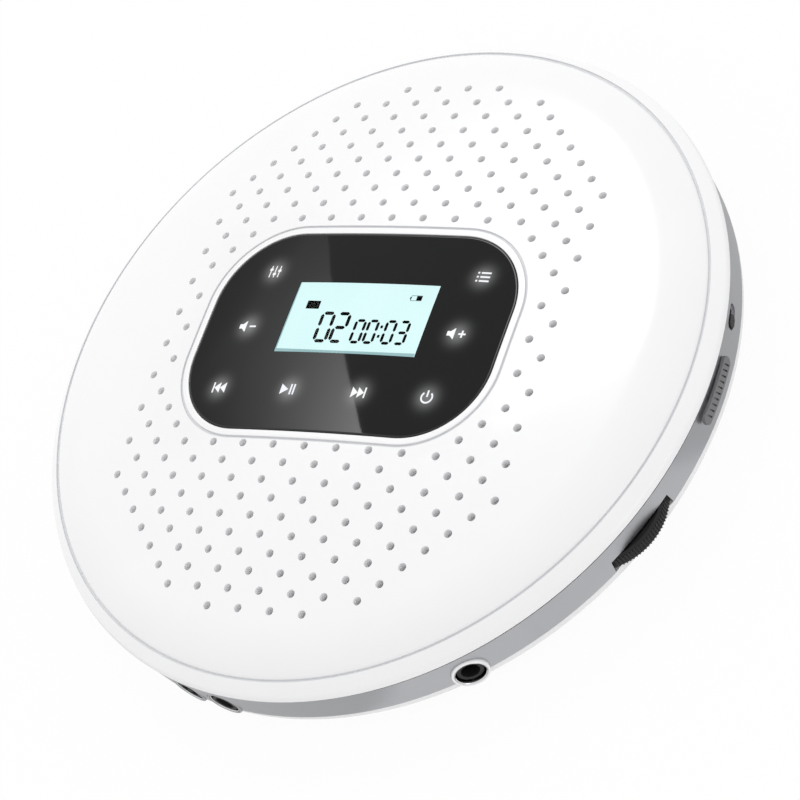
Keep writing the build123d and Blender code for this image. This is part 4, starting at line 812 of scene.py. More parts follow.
# ---------------------------------------------------------------- lid
@dataclass
class Lid:
    """The white lid: crown with its sound holes, shoulder, ring and edge, and what hangs from it.

    Attributes:
        curve: radius of curvature of the crown.
        crown_reach: where the crown turns over into the shoulder.
        ring_width: from the edge to the foot of the dome.
        edge_height: height of the plain edge.
        edge_round: how far the edge is rounded along its ring and its side.
        ring_rise: from the edge's top to the foot of the dome.
        wall: thickness of the crown.
        seam: gap between the band and the lid's edge.
        panel_sink, panel_thickness, panel_ledge: how deep the panel lies, its thickness and its ledge's width.
        panel_gap, panel_corner: gap around the panel, and the radius of its corners.
        hole_radius, hole_rim: radius of a sound hole, and of the soft dish around it.
        hole_support: width of the flat ring around the dish, which keeps the crown's shading even.
        hole_sides: sides of a hole's circle.
        hole_step: half the distance between two holes of one row.
        hole_row_step, hole_y: from one row to the next, and the middle row.
        side_steps, corner_steps: limits of the pattern.
        hole_edge: outermost hole inside the crown's edge.
        lip, groove: width of the white lip around the panel and of the groove around that.
        groove_depth: depth of that groove.
        shoulder_steps: steps between the crown and the foot of the dome.
        knuckle_start, knuckle_length, knuckle_wall: a hinge barrel's distance from the lid's middle line, its
            length, and its thickness around the pin.
        strike_reach, strike_half, strike_foot: the strike's distance from the spindle, half its width, and the
            thickness of its foot.
        strike_front, strike_back, stem_back: ends of its foot and the back of its stem, along Y.
        stem_rise: top of its stem above the lid's edge.
        dome, outline: the crown's sphere and the panel's outline.
    """

    curve: float = 412.0
    crown_reach: float = 61.0
    ring_width: float = 3.0
    edge_height: float = 1.2
    edge_round: float = 0.8
    ring_rise: float = 2.1
    wall: float = 1.8
    seam: float = 0.3
    panel_sink: float = 0.1
    panel_thickness: float = 1.2
    panel_ledge: float = 2.2
    panel_gap: float = 0.15
    panel_corner: float = 15.8
    hole_radius: float = 0.8
    hole_rim: float = 0.88
    hole_support: float = 0.02
    hole_sides: int = 16
    hole_step: float = 3.6
    hole_row_step: float = 3.64
    hole_y: float = -0.2
    side_steps: int = 12
    corner_steps: int = 21
    hole_edge: float = 1.4
    lip: float = 1.5
    groove: float = 0.5
    groove_depth: float = 0.4
    shoulder_steps: int = 14
    knuckle_start: float = 5.3
    knuckle_length: float = 4.0
    knuckle_wall: float = 0.7
    strike_reach: float = 66.0
    strike_half: float = 0.6
    strike_foot: float = 1.0
    strike_front: float = -3.7
    strike_back: float = 1.7
    stem_back: float = 0.3
    stem_rise: float = 3.7
    dome: Dome = field(init=False)
    outline: PanelOutline = field(init=False)

    def __post_init__(self) -> None:
        """Reads the lid's place from the frame."""
        glass_low, glass_high = low("panel_glass"), high("panel_glass")
        self.radius = high("lid_shell").x
        self.edge_z = high("side_band").z + self.seam
        self.dome = Dome(self.curve, glass_high.z + self.panel_sink)
        self.outline = PanelOutline(glass_high.x - glass_low.x, glass_high.y - glass_low.y, self.panel_corner,
                                    (glass_high.y + glass_low.y) / 2)

    def spot(self, row: int, step: int) -> tuple[float, float]:
        """Returns a place of the lattice in the plan."""
        return step * self.hole_step, self.hole_y + row * self.hole_row_step

    def is_hole(self, row: int, step: int) -> bool:
        """Whether the lattice has a hole at a row and a step: off the panel's rim and on the crown."""
        x, y = self.spot(row, step)
        clear = self.outline.distance(x, y) > self.lip + self.groove + self.hole_radius
        in_pattern = abs(step) <= self.side_steps and abs(step) + abs(row) <= self.corner_steps
        on_crown = hypot(x, y) <= self.crown_reach - self.hole_edge
        return (row + step) % 2 == 1 and in_pattern and clear and on_crown

    def lattice(self) -> tuple[list[tuple[float, float]], list[tuple[float, float]]]:
        """Splits the lattice.

        Returns:
            Middles of the holes, and free points between them.
        """
        last = int(self.crown_reach / self.hole_row_step)
        rim = self.lip + self.groove + 1
        holes, free = [], []
        for row in range(-last, last + 1):
            for step in range(-last, last + 1):
                x, y = self.spot(row, step)
                if self.is_hole(row, step):
                    holes.append((x, y))
                elif hypot(x, y) < self.crown_reach - 1 and self.outline.distance(x, y) > rim:
                    free.append((x, y))
        return holes, free

    def hole_loop(self, place: Matrix, radius: float, depth: float) -> Loop:
        """Returns the circle around a hole's axis at a depth below its frame."""
        return [place @ Vector((radius * cos(t), radius * sin(t), -depth)) for t in turns(self.hole_sides)]

    def near_hole(self, x: float, y: float, radius: float) -> bool:
        """Whether a point of the plan lies inside the circle of the nearest hole."""
        step, row = round(x / self.hole_step), round((y - self.hole_y) / self.hole_row_step)
        middle = self.spot(row, step)
        return hypot(x - middle[0], y - middle[1]) < 0.97 * radius and self.is_hole(row, step)

    def shell(self) -> bpy.types.Object:
        """Builds the lid's shell with its sound holes, knuckles and strike.

        Returns:
            The piece.
        """
        white = Paint.of(WHITE_SHELL)
        dome, outline, wall = self.dome, self.outline, self.wall
        holes, free = self.lattice()
        places = [dome.place(x, y) for x, y in holes]
        body = Shell()
        brim = self.lip + self.groove + 0.06
        circle = [(self.crown_reach * cos(t), self.crown_reach * sin(t)) for t in turns(SEGMENTS)]
        ledge = -self.panel_ledge
        dish = self.hole_rim + self.hole_support
        for depth, offset, radius in ((0.0, brim, dish), (wall, ledge, self.hole_radius)):
            rim = [dome.point(x, y, depth) for x, y in circle]
            window = outline.loop(offset, lambda x, y, d=depth: dome.point(x, y, d))
            rings = [self.hole_loop(place, radius, depth) for place in places]
            inner = [dome.point(x, y, depth) for x, y in free]
            body.sheet([rim, window, *rings], inner, lambda x, y, r=radius, o=offset:
                       outline.distance(x, y) > o - 0.02 and not self.near_hole(x, y, r))
        seat = self.panel_sink + self.panel_thickness
        mouth = self.panel_gap
        steps = ((brim, 0.0), (brim - 0.06, 0.05), (brim - 0.08, self.groove_depth),
                 (self.lip + 0.03, self.groove_depth), (self.lip, 0.12), (self.lip - 0.07, 0.02),
                 (self.lip - 0.2, 0.0), (mouth + 0.16, 0.0), (mouth + 0.04, 0.03), (mouth, 0.14),
                 (mouth, seat), (ledge, seat), (ledge, wall))
        around = [outline.loop(o, lambda x, y, d=d: dome.point(x, y, d)) for o, d in steps]
        section, sunk = self.section(), self.shoulder_steps + 1
        # Paint 1 is painted shade: the groove around the panel's lip and the groove at the dome's foot get a
        # greyer, duller white
        for first, last, paint in ((0, 1, 0), (1, 5, 1), (5, len(around) - 1, 0)):
            body.strips(around[first:last + 1], paint=paint)
        for first, last, paint in ((0, sunk, 0), (sunk, sunk + 5, 1), (sunk + 5, len(section) - 1, 0)):
            body.turned(section[first:last + 1], paint=paint)
        for side in (-1, 1):
            self.knuckle(body, side)
        self.strike(body)
        funnel = Shell()
        hole = ((dish, 0.0), (self.hole_rim, 0.0), (self.hole_radius + 0.03, 0.03),
                (self.hole_radius, 0.13), (self.hole_radius, wall))
        funnel.strips([self.hole_loop(Matrix.Identity(4), r, d) for r, d in hole])
        shape = funnel.piece("sound_hole", white)
        dishes = scatter("sound_holes", shape, places, white)
        return join("lid_shell_white", [body.piece("crown_and_rim", white, Paint.of(GROOVE_PAINTED_SHADE)), dishes])

    def section(self) -> list[tuple[float, float]]:
        """Traces the lid's wall outside the crown, from its outer face around to its inner face.

        Returns:
            Radius and height of each point.
        """
        dome, reach = self.dome, self.crown_reach
        foot = self.radius - self.ring_width
        ring_z = self.edge_z + self.edge_height
        foot_z = ring_z + self.ring_rise
        start = dome.point(reach, 0)
        slope = Vector((reach, 0, start.z - dome.crown + dome.curve)).normalized()
        aim = Vector((slope.z, -slope.x))
        chord = Vector((foot - reach, foot_z - start.z))
        bend = chord.length_squared / (2 * (chord.x * -aim.y + chord.y * aim.x))
        middle = Vector((start.x, start.z)) + bend * Vector((-aim.y, aim.x))
        points = [(reach, start.z)]
        for n in range(1, self.shoulder_steps + 1):
            share = n / (self.shoulder_steps + 1)
            spot = Vector((start.x, start.z)) + share * chord - middle
            spot = middle + spot.normalized() * abs(bend)
            points.append((spot.x, spot.y))
        points += [
            (foot - 0.02, foot_z), (foot, foot_z - 0.06), (foot + 0.02, foot_z - 0.33),
            (foot + 0.44, foot_z - 0.34), (foot + 0.47, foot_z - 0.1), (foot + 0.56, foot_z - 0.07),
        ]
        fall = atan2(self.ring_rise, self.ring_width - 0.5)
        start_x = foot + 0.7
        points.append((start_x, foot_z - (start_x - foot - 0.5) * tan(fall)))
        turn = self.edge_round / tan((pi / 2 - fall) / 2)
        for n in range(9):
            angle = (pi / 2 - fall) * (1 - n / 8)
            points.append((self.radius - turn * (1 - cos(angle)),
                           ring_z - self.edge_round + turn * sin(angle)))
        rim = self.radius - self.wall
        points += [
            (self.radius, self.edge_z + 0.15), (self.radius - 0.15, self.edge_z), (rim + 0.1, self.edge_z),
            (rim, self.edge_z + 0.1), (rim, self.edge_z + 0.4), (foot - 1, foot_z - 1.3),
            (reach, dome.point(reach, 0, self.wall).z),
        ]
        return points

    def knuckle(self, body: Shell, side: int) -> None:
        """Adds one of the two barrels that turn on the hinge pin."""
        pin = Vector(self.hinge())
        barrel = pin.z - low("hinge_pin").z + self.knuckle_wall
        start = side * self.knuckle_start - (self.knuckle_length if side < 0 else 0.0)
        curve = [Vector((pin.x + barrel * cos(t), start, pin.z + barrel * sin(t))) for t in
                 [pi + pi * n / 16 for n in range(17)]]
        top = self.edge_z + 0.7
        outline = [*curve, Vector((pin.x + barrel, start, top)), Vector((pin.x - barrel + 0.6, start, top)),
                   Vector((pin.x - barrel, start, self.edge_z + 0.1))]
        body.prism(outline, Vector((0, self.knuckle_length, 0)))

    def hinge(self) -> Point:
        """Returns the hinge's place in mm, from the record's joints."""
        joint = next(j for j in frame["joints"] if j["name"] == "lid_hinge")
        return [part / MM for part in joint["pos_m"]]

    def strike(self, body: Shell) -> None:
        """Adds the tongue that the open slider's hook holds."""
        bottom = low("lid_shell").z
        inner, outer = self.strike_reach - self.strike_half, self.strike_reach + self.strike_half
        outline = flat([(inner, self.strike_front), (outer, self.strike_front),
                        (outer, self.strike_back), (inner, self.strike_back)], bottom)
        body.prism(outline, Vector((0, 0, self.strike_foot)))
        stem = [Vector((p.x, min(p.y, self.stem_back), p.z)) for p in outline]
        body.prism(stem, Vector((0, 0, self.edge_z + self.stem_rise - bottom)))


# ---------------------------------------------------------------- display panel
class Symbol(Enum):
    """Generic key symbols, drawn in units of half the symbol's height."""

    BARS = "equaliser"
    LIST = "menu"
    QUIETER = "minus"
    LOUDER = "plus"
    BACK = "previous"
    PLAY = "play and pause"
    NEXT = "next"
    POWER = "power"

    def outlines(self) -> list[list[tuple[float, float]]]:
        """Draws the symbol.

        Returns:
            Its closed outlines.
        """
        box = rectangle
        right = [(-0.9, -0.8), (0.1, 0.0), (-0.9, 0.8)]
        speaker = [[(-1.6, -0.35), (-1.1, -0.35), (-0.45, -0.9), (-0.45, 0.9), (-1.1, 0.35), (-1.6, 0.35)]]
        if self is Symbol.BARS:
            levels = (0.35, -0.4, 0.15)
            bars = [box(0.16, 1.9, 0.75 * n - 0.75) for n in range(3)]
            return bars + [box(0.52, 0.36, 0.75 * n - 0.75, level) for n, level in enumerate(levels)]
        if self is Symbol.LIST:
            columns = ((1.5, 0.3), (0.28, -0.85))
            return [box(wide, 0.26, x, 0.65 * n) for wide, x in columns for n in (-1, 0, 1)]
        if self is Symbol.QUIETER:
            return speaker + [box(1.1, 0.26, 0.7)]
        if self is Symbol.LOUDER:
            return speaker + [box(1.1, 0.26, 0.7), box(0.26, 0.42, 0.7, 0.34), box(0.26, 0.42, 0.7, -0.34)]
        if self is Symbol.PLAY:
            return [[(1.25 * x - 0.35, y) for x, y in right], box(0.26, 1.6, 0.2), box(0.26, 1.6, 0.72)]
        if self in (Symbol.BACK, Symbol.NEXT):
            drawn = [right, [(x + 1.0, y) for x, y in right], box(0.24, 1.6, 1.24)]
            side = 1 if self is Symbol.NEXT else -1
            return [[(side * (x - 0.25), y) for x, y in outline] for outline in drawn]
        arc = [radians(90 + 42 + (360 - 84) * n / 22) for n in range(23)]
        outer = [(0.95 * cos(t), 0.95 * sin(t)) for t in arc]
        inner = [(0.7 * cos(t), 0.7 * sin(t)) for t in reversed(arc)]
        links = [[outer[n], outer[n + 1], inner[21 - n], inner[22 - n]] for n in range(22)]
        return [*links, box(0.25, 1.0, 0, 0.55)]


INK = Vector((0, 0, 0.03))          # thickness of the display's dark segments
# Thickness of the painted shade strips along the display's left and near edges:
EDGE_SHADE_FILM = Vector((0, 0, 0.02))     # and of the diffuser's rim
SEGMENTS_OF = {"0": "abcdef", "2": "abged", "3": "abgcd"}
SEGMENT_ENDS = {
    "a": ((0, 2), (1, 2)), "b": ((1, 2), (1, 1)), "c": ((1, 1), (1, 0)), "d": ((0, 0), (1, 0)),
    "e": ((0, 1), (0, 0)), "f": ((0, 2), (0, 1)), "g": ((0, 1), (1, 1)),
}


@dataclass
class DisplayPanel:
    """The black panel with its lit keys and the backlit display in its window.

    Attributes:
        lid: the lid that carries it.
        window_x, window_y: middle of the window.
        window_length, window_width: its size.
        key_height: half the height of a key's symbol.
        keys: each symbol with the middle of its key.
        look_x, look_y: how far what lies behind the window is set so that it sits in the window's middle
            for somebody who looks from the front right.
    """

    lid: Lid
    window_x: float = 1.1
    window_y: float = 2.0
    window_length: float = 32.3
    window_width: float = 15.7
    key_height: float = 1.39
    look_x: float = -1.44
    look_y: float = 1.04
    keys: tuple[tuple[Symbol, float, float], ...] = (
        (Symbol.BARS, -22.5, 12.4), (Symbol.LIST, 25.5, 12.4), (Symbol.QUIETER, -23.5, -0.3),
        (Symbol.LOUDER, 24.6, -0.3), (Symbol.BACK, -25.0, -14.0), (Symbol.PLAY, -7.9, -14.0),
        (Symbol.NEXT, 8.0, -14.0), (Symbol.POWER, 22.9, -14.0),
    )

    def in_window(self, x: float, y: float, margin: float = 0.0) -> bool:
        """Whether a point of the plan lies in the window."""
        across = abs(x - self.window_x) < self.window_length / 2 + margin
        return across and abs(y - self.window_y) < self.window_width / 2 + margin

    def window_loop(self, depth: float, margin: float) -> Loop:
        """Returns the window's edge on the surface depth below the crown."""
        corners = rectangle(self.window_length + 2 * margin, self.window_width + 2 * margin,
                            self.window_x, self.window_y)
        loop = []
        for (x, y), (next_x, next_y) in zip(corners, corners[1:] + corners[:1]):
            loop += [self.lid.dome.point(x + (next_x - x) * n / 8, y + (next_y - y) * n / 8, depth)
                     for n in range(8)]
        return loop

    def glass(self) -> bpy.types.Object:
        """Builds the acrylic slab: printed black but for the window.

        Returns:
            The piece.
        """
        lid, dome, outline = self.lid, self.lid.dome, self.lid.outline
        top, bottom = lid.panel_sink, lid.panel_sink + lid.panel_thickness
        slab = Shell()
        for depth, offset, margin in ((top, -0.4, 0.0), (bottom, 0.0, 0.7)):
            rim = outline.loop(offset, lambda x, y, d=depth: dome.point(x, y, d))
            spots = [(3.0 * a, 3.0 * b) for a in range(-11, 12) for b in range(-7, 8)]
            inner = [dome.point(x, y, depth) for x, y in spots
                     if outline.distance(x, y) < -1.5
                     and abs(abs(x - self.window_x) - self.window_length / 2) > 0.9
                     and abs(abs(y - self.window_y) - self.window_width / 2) > 0.9]
            slab.sheet([rim, self.window_loop(depth, margin)], inner,
                       lambda x, y, o=offset: outline.distance(x, y) < o + 0.02,
                       lambda x, y, m=margin: 1 if self.in_window(x, y, m) else 0)
        edge = ((-0.4, top), (-0.06, top), (-0.02, top + 0.02), (0.0, top + 0.1), (0.0, bottom))
        slab.strips([outline.loop(o, lambda x, y, d=d: dome.point(x, y, d)) for o, d in edge])
        print_finish = PrintedPanel(tuple(tuple(dome.point(x, y, top)) for symbol, x, y in self.keys))
        return slab.piece("panel_acrylic", Paint.of(print_finish), Paint.of(ClearPane()))

    def symbols(self) -> bpy.types.Object:
        """Builds the lit key symbols, flush with the panel.

        Returns:
            The piece.
        """
        drawn = Shell()
        for symbol, x, y in self.keys:
            place = self.lid.dome.place(x, y, self.lid.panel_sink)
            for outline in symbol.outlines():
                lower = [place @ Vector((a * self.key_height, b * self.key_height, -0.02))
                         for a, b in outline]
                drawn.prism(lower, place.to_3x3() @ Vector((0, 0, 0.035)))
        return drawn.piece("key_symbols", Paint.of(KEY_LIGHT))

    def digit(self, ink: Shell, sign: str, x: float, y: float, width: float, height: float,
              line: float) -> None:
        """Adds one digit of seven segments, whose ends are cut to points.

        Args:
            ink: collects the segments.
            sign: the digit.
            x: left end of the digit.
            y: its foot.
            width: distance between its upright segments.
            height: distance between its lowest and highest segment.
            line: thickness of a segment.
        """
        for name in SEGMENTS_OF[sign]:
            first, last = (Vector((x + a * width, y + b * height / 2)) for a, b in SEGMENT_ENDS[name])
            way = (last - first).normalized()
            side = Vector((-way.y, way.x)) * line / 2
            first, last = first + way * line * 0.75, last - way * line * 0.75
            tip = way * line / 2
            outline = [first - tip, first + side, last + side, last + tip, last - side, first - side]
            ink.prism(flat(outline, self.face_z()), INK)

    def face_z(self) -> float:
        """Returns the height of the display's face."""
        return high("lcd_module").z + 0.06

    def display(self) -> None:
        """Builds the display's lit face, its painted edge shade and its dark segments."""
        face_low, face_high = low("lcd_module"), high("lcd_module")
        middle = (face_low + face_high) / 2
        face, rim, ink = Shell(), Shell(), Shell()
        length, width = face_high.x - face_low.x - 0.2, face_high.y - face_low.y - 0.2
        face.prism(flat(rectangle(length, width, middle.x, middle.y), face_high.z), Vector((0, 0, 0.06)))
        left = self.window_x - self.window_length / 2 + self.look_x
        foot = self.window_y - self.window_width / 2 + self.look_y
        right, back = left + self.window_length, foot + self.window_width
        z, strip = self.face_z(), 0.55
        # Painted shade: two darker cyan strips along the left and near edges of the window, standing for the shade
        # at its recessed edge
        rim.prism(flat([(left - 0.5, foot - 0.3), (left + strip, foot + strip),
                        (left + strip, back + 0.3), (left - 0.5, back + 0.3)], z), EDGE_SHADE_FILM)
        rim.prism(flat([(left - 0.5, foot - 0.6), (right + 0.2, foot - 0.6),
                        (right + 0.2, foot + strip), (left + strip, foot + strip)], z), EDGE_SHADE_FILM)
        shift_x, shift_y = self.look_x, self.look_y
        for n, sign in enumerate("02"):
            self.digit(ink, sign, -6.6 + 3.63 * n + shift_x, -3.3 + shift_y, 2.65, 6.2, 0.74)
        for n, sign in enumerate("0003"):
            after_colon = 1.1 if n > 1 else 0.0
            self.digit(ink, sign, 1.75 + 3.0 * n + after_colon + shift_x, -3.3 + shift_y, 2.05, 4.8, 0.62)
        for dot in (-1.84, 0.26):
            ink.prism(flat(rectangle(0.55, 0.62, 7.83 + shift_x, dot + shift_y), z), INK)
        ink.prism(flat(rectangle(3.05, 1.8, -9.8 + shift_x, 4.7 + shift_y), z), INK)
        self.battery_sign(ink, 13.25 + shift_x, 6.8 + shift_y)
        dress(face.piece("display_face", Paint.of(LCD_LIGHT)), "lid", "display")
        dress(rim.piece("display_rim", Paint.of(LCD_EDGE_PAINTED_SHADE)), "lid", "display")
        dress(ink.piece("display_segments", Paint.of(LCD_SEGMENT)), "lid", "display")

    def battery_sign(self, ink: Shell, x: float, y: float) -> None:
        """Adds the battery symbol: a fine frame with one end full."""
        frame_bars = ((0, 0.55, 2.4, 0.08), (0, -0.55, 2.4, 0.08), (-1.2, 0, 0.08, 1.1), (1.2, 0, 0.08, 1.1))
        for a, b, wide, tall in (*frame_bars, (0.6, 0, 1.15, 0.95), (-1.35, 0, 0.22, 0.5)):
            ink.prism(flat(rectangle(wide, tall, x + a, y + b), self.face_z()), INK)

    def build(self) -> None:
        """Builds and dresses the panel."""
        dress(self.glass(), "lid", "black_glass", "panel_glass")
        dress(self.symbols(), "lid", "display")
        self.display()


# ---------------------------------------------------------------- side of the case
@dataclass
class Rim:
    """What shows on the side of the case: the satin band's fittings, wheel and sockets.

    Attributes:
        dial_ribs: ribs around the wheel.
        rib_depth: height of a rib.
        jack_azimuths: where the three sockets stand.
        jack_lift: socket's axis above the band's lower edge.
        mouth_radius: inside of a socket's ring.
        ring_radius: outside of its nickel ring.
        collar_radius: outside of its white collar.
        side_inset: how far the two side sockets lie behind the front one's face.
    """

    dial_ribs: int = 108
    rib_depth: float = 0.22
    jack_azimuths: tuple[float, float, float] = (-56.0, -97.6, -104.8)
    jack_lift: float = 1.9
    mouth_radius: float = 2.85
    ring_radius: float = 3.1
    side_inset: float = 0.6
    collar_radius: float = 3.6

    def wheel(self) -> bpy.types.Object:
        """Builds the volume wheel with ribs around its rim.

        Returns:
            The piece.
        """
        black = Paint.of(WHEEL_BLACK)
        near, far = low("volume_dial"), high("volume_dial")
        middle = (near + far) / 2
        radius, height = (far.x - near.x) / 2, far.z - near.z
        place = Matrix.Translation((middle.x, middle.y, near.z))
        core = radius - self.rib_depth
        disc = Shell()
        disc.turned([(1.55, 0.0), (core - 0.5, 0.0), (core, 0.4), (core, height - 0.4), (core - 0.5, height),
                     (core - 2.2, height), (core - 2.5, height - 0.2), (3.2, height - 0.2), (2.9, height),
                     (1.55, height)], place, 144, ring=True)
        rib = Shell()
        half, top = 0.5 * pi * radius / self.dial_ribs, self.rib_depth
        profile = [(-half, -0.05), (half, -0.05), (0.55 * half, 0.8 * top), (0.3 * half, top),
                   (-0.3 * half, top), (-0.55 * half, 0.8 * top)]
        rib.prism([Vector((a, -height / 2 + 0.42, b)) for a, b in profile], Vector((0, height - 0.84, 0)))
        shape = rib.piece("wheel_rib", black)
        axis = Matrix.Translation((middle.x, middle.y, 0))
        places = [axis @ outward(360 * n / self.dial_ribs, core, middle.z) for n in range(self.dial_ribs)]
        ribs = scatter("wheel_ribs", shape, places, black)
        return join("volume_wheel", [disc.piece("wheel_disc", black), ribs])

    def socket_rings(self) -> None:
        """Builds each socket's white collar and the nickel ring inside it."""
        collars, flush_collars, rings = Shell(), Shell(), Shell()
        height = low("side_band").z + self.jack_lift
        bezels = frame["nodes"]["socket_bezels"].data.vertices
        reach = max(hypot(*corner.xy) for corner in (v.co / MM for v in bezels))
        for azimuth in self.jack_azimuths:
            front = azimuth == self.jack_azimuths[0]
            place = outward(azimuth, reach if front else reach - self.side_inset, height)
            outer, split, inner = self.collar_radius, self.ring_radius, self.mouth_radius
            collar = collars if front else flush_collars
            collar.turned([(split + 0.02, -3.4), (outer, -3.4), (outer, -0.2), (outer - 0.1, -0.06),
                           (outer - 0.25, 0.0), (split + 0.12, 0.0), (split + 0.02, -0.1)],
                          place, 72, ring=True)
            rings.turned([(inner, -3.4), (split, -3.4), (split, -0.22), (split - 0.1, -0.1),
                          (inner + 0.12, -0.1), (inner, -0.24)], place, 72, ring=True)
        dress(collars.piece("socket_collars", Paint.of(WHITE_SHELL)), "base", "white_shell")
        dress(flush_collars.piece("side_socket_collars", Paint.of(SATIN_BAND)), "base", "silver_band")
        nickel = rings.piece("socket_nickel_rings", Paint.of(RING_NICKEL))
        dress(nickel, "base", "socket_ring", "socket_bezels")

    def build(self) -> None:
        """Builds and dresses the fittings."""
        dress(self.wheel(), "volume_dial", "black_plastic", "volume_dial")
        self.socket_rings()


# ---------------------------------------------------------------- screws
@dataclass
class Screws:
    """Cross-head screws of one kind.

    Attributes:
        node: the CAD node that they replace.
        body: the body that they hold to.
        radius: radius of the head.
        shank: radius of the shank.
        spots: middle of each screw in the plan.
        up: whether the heads face up.
    """

    node: str
    body: str
    radius: float
    shank: float
    spots: tuple[tuple[float, float], ...]
    up: bool = False

    def build(self) -> None:
        """Builds and dresses the screws."""
        steel = Paint.of(BRIGHT_STEEL)
        near, far = low(self.node), high(self.node)
        length, radius = far.z - near.z, self.radius
        arm, slot, sink = 0.62 * radius, 0.17 * radius, 0.45 * radius
        cross = [(slot, slot), (slot, arm), (-slot, arm), (-slot, slot), (-arm, slot), (-arm, -slot),
                 (-slot, -slot), (-slot, -arm), (slot, -arm), (slot, -slot), (arm, -slot), (arm, slot)]
        head = Shell()
        head_height = 0.6 * radius
        in_cross = lambda x, y: (abs(x) < slot and abs(y) < arm) or (abs(y) < slot and abs(x) < arm)
        rim = [Vector((0.9 * radius * cos(t), 0.9 * radius * sin(t), 0)) for t in turns(28)]
        head.sheet([rim, flat(cross)], [], lambda x, y: not in_cross(x, y))
        head.sheet([flat(cross, -sink)], [], in_cross)
        head.strips([flat(cross), flat(cross, -sink)])
        head.turned([(0.9 * radius, 0.0), (radius, -0.12 * radius), (radius, -head_height),
                     (self.shank, -head_height), (self.shank, -length), (0.0, -length)], None, 28)
        shape = head.piece("screw", steel)
        turn = Matrix.Identity(4) if self.up else Matrix.Rotation(pi, 4, "X")
        height = far.z if self.up else near.z
        places = [Matrix.Translation((x, y, height)) @ Matrix.Rotation(radians(31 * n), 4, "Z") @ turn
                  for n, (x, y) in enumerate(self.spots)]
        piece = scatter(self.node + "_cross_head", shape, places, steel)
        tidy(piece.data)
        dress(piece, self.body, "steel", self.node)


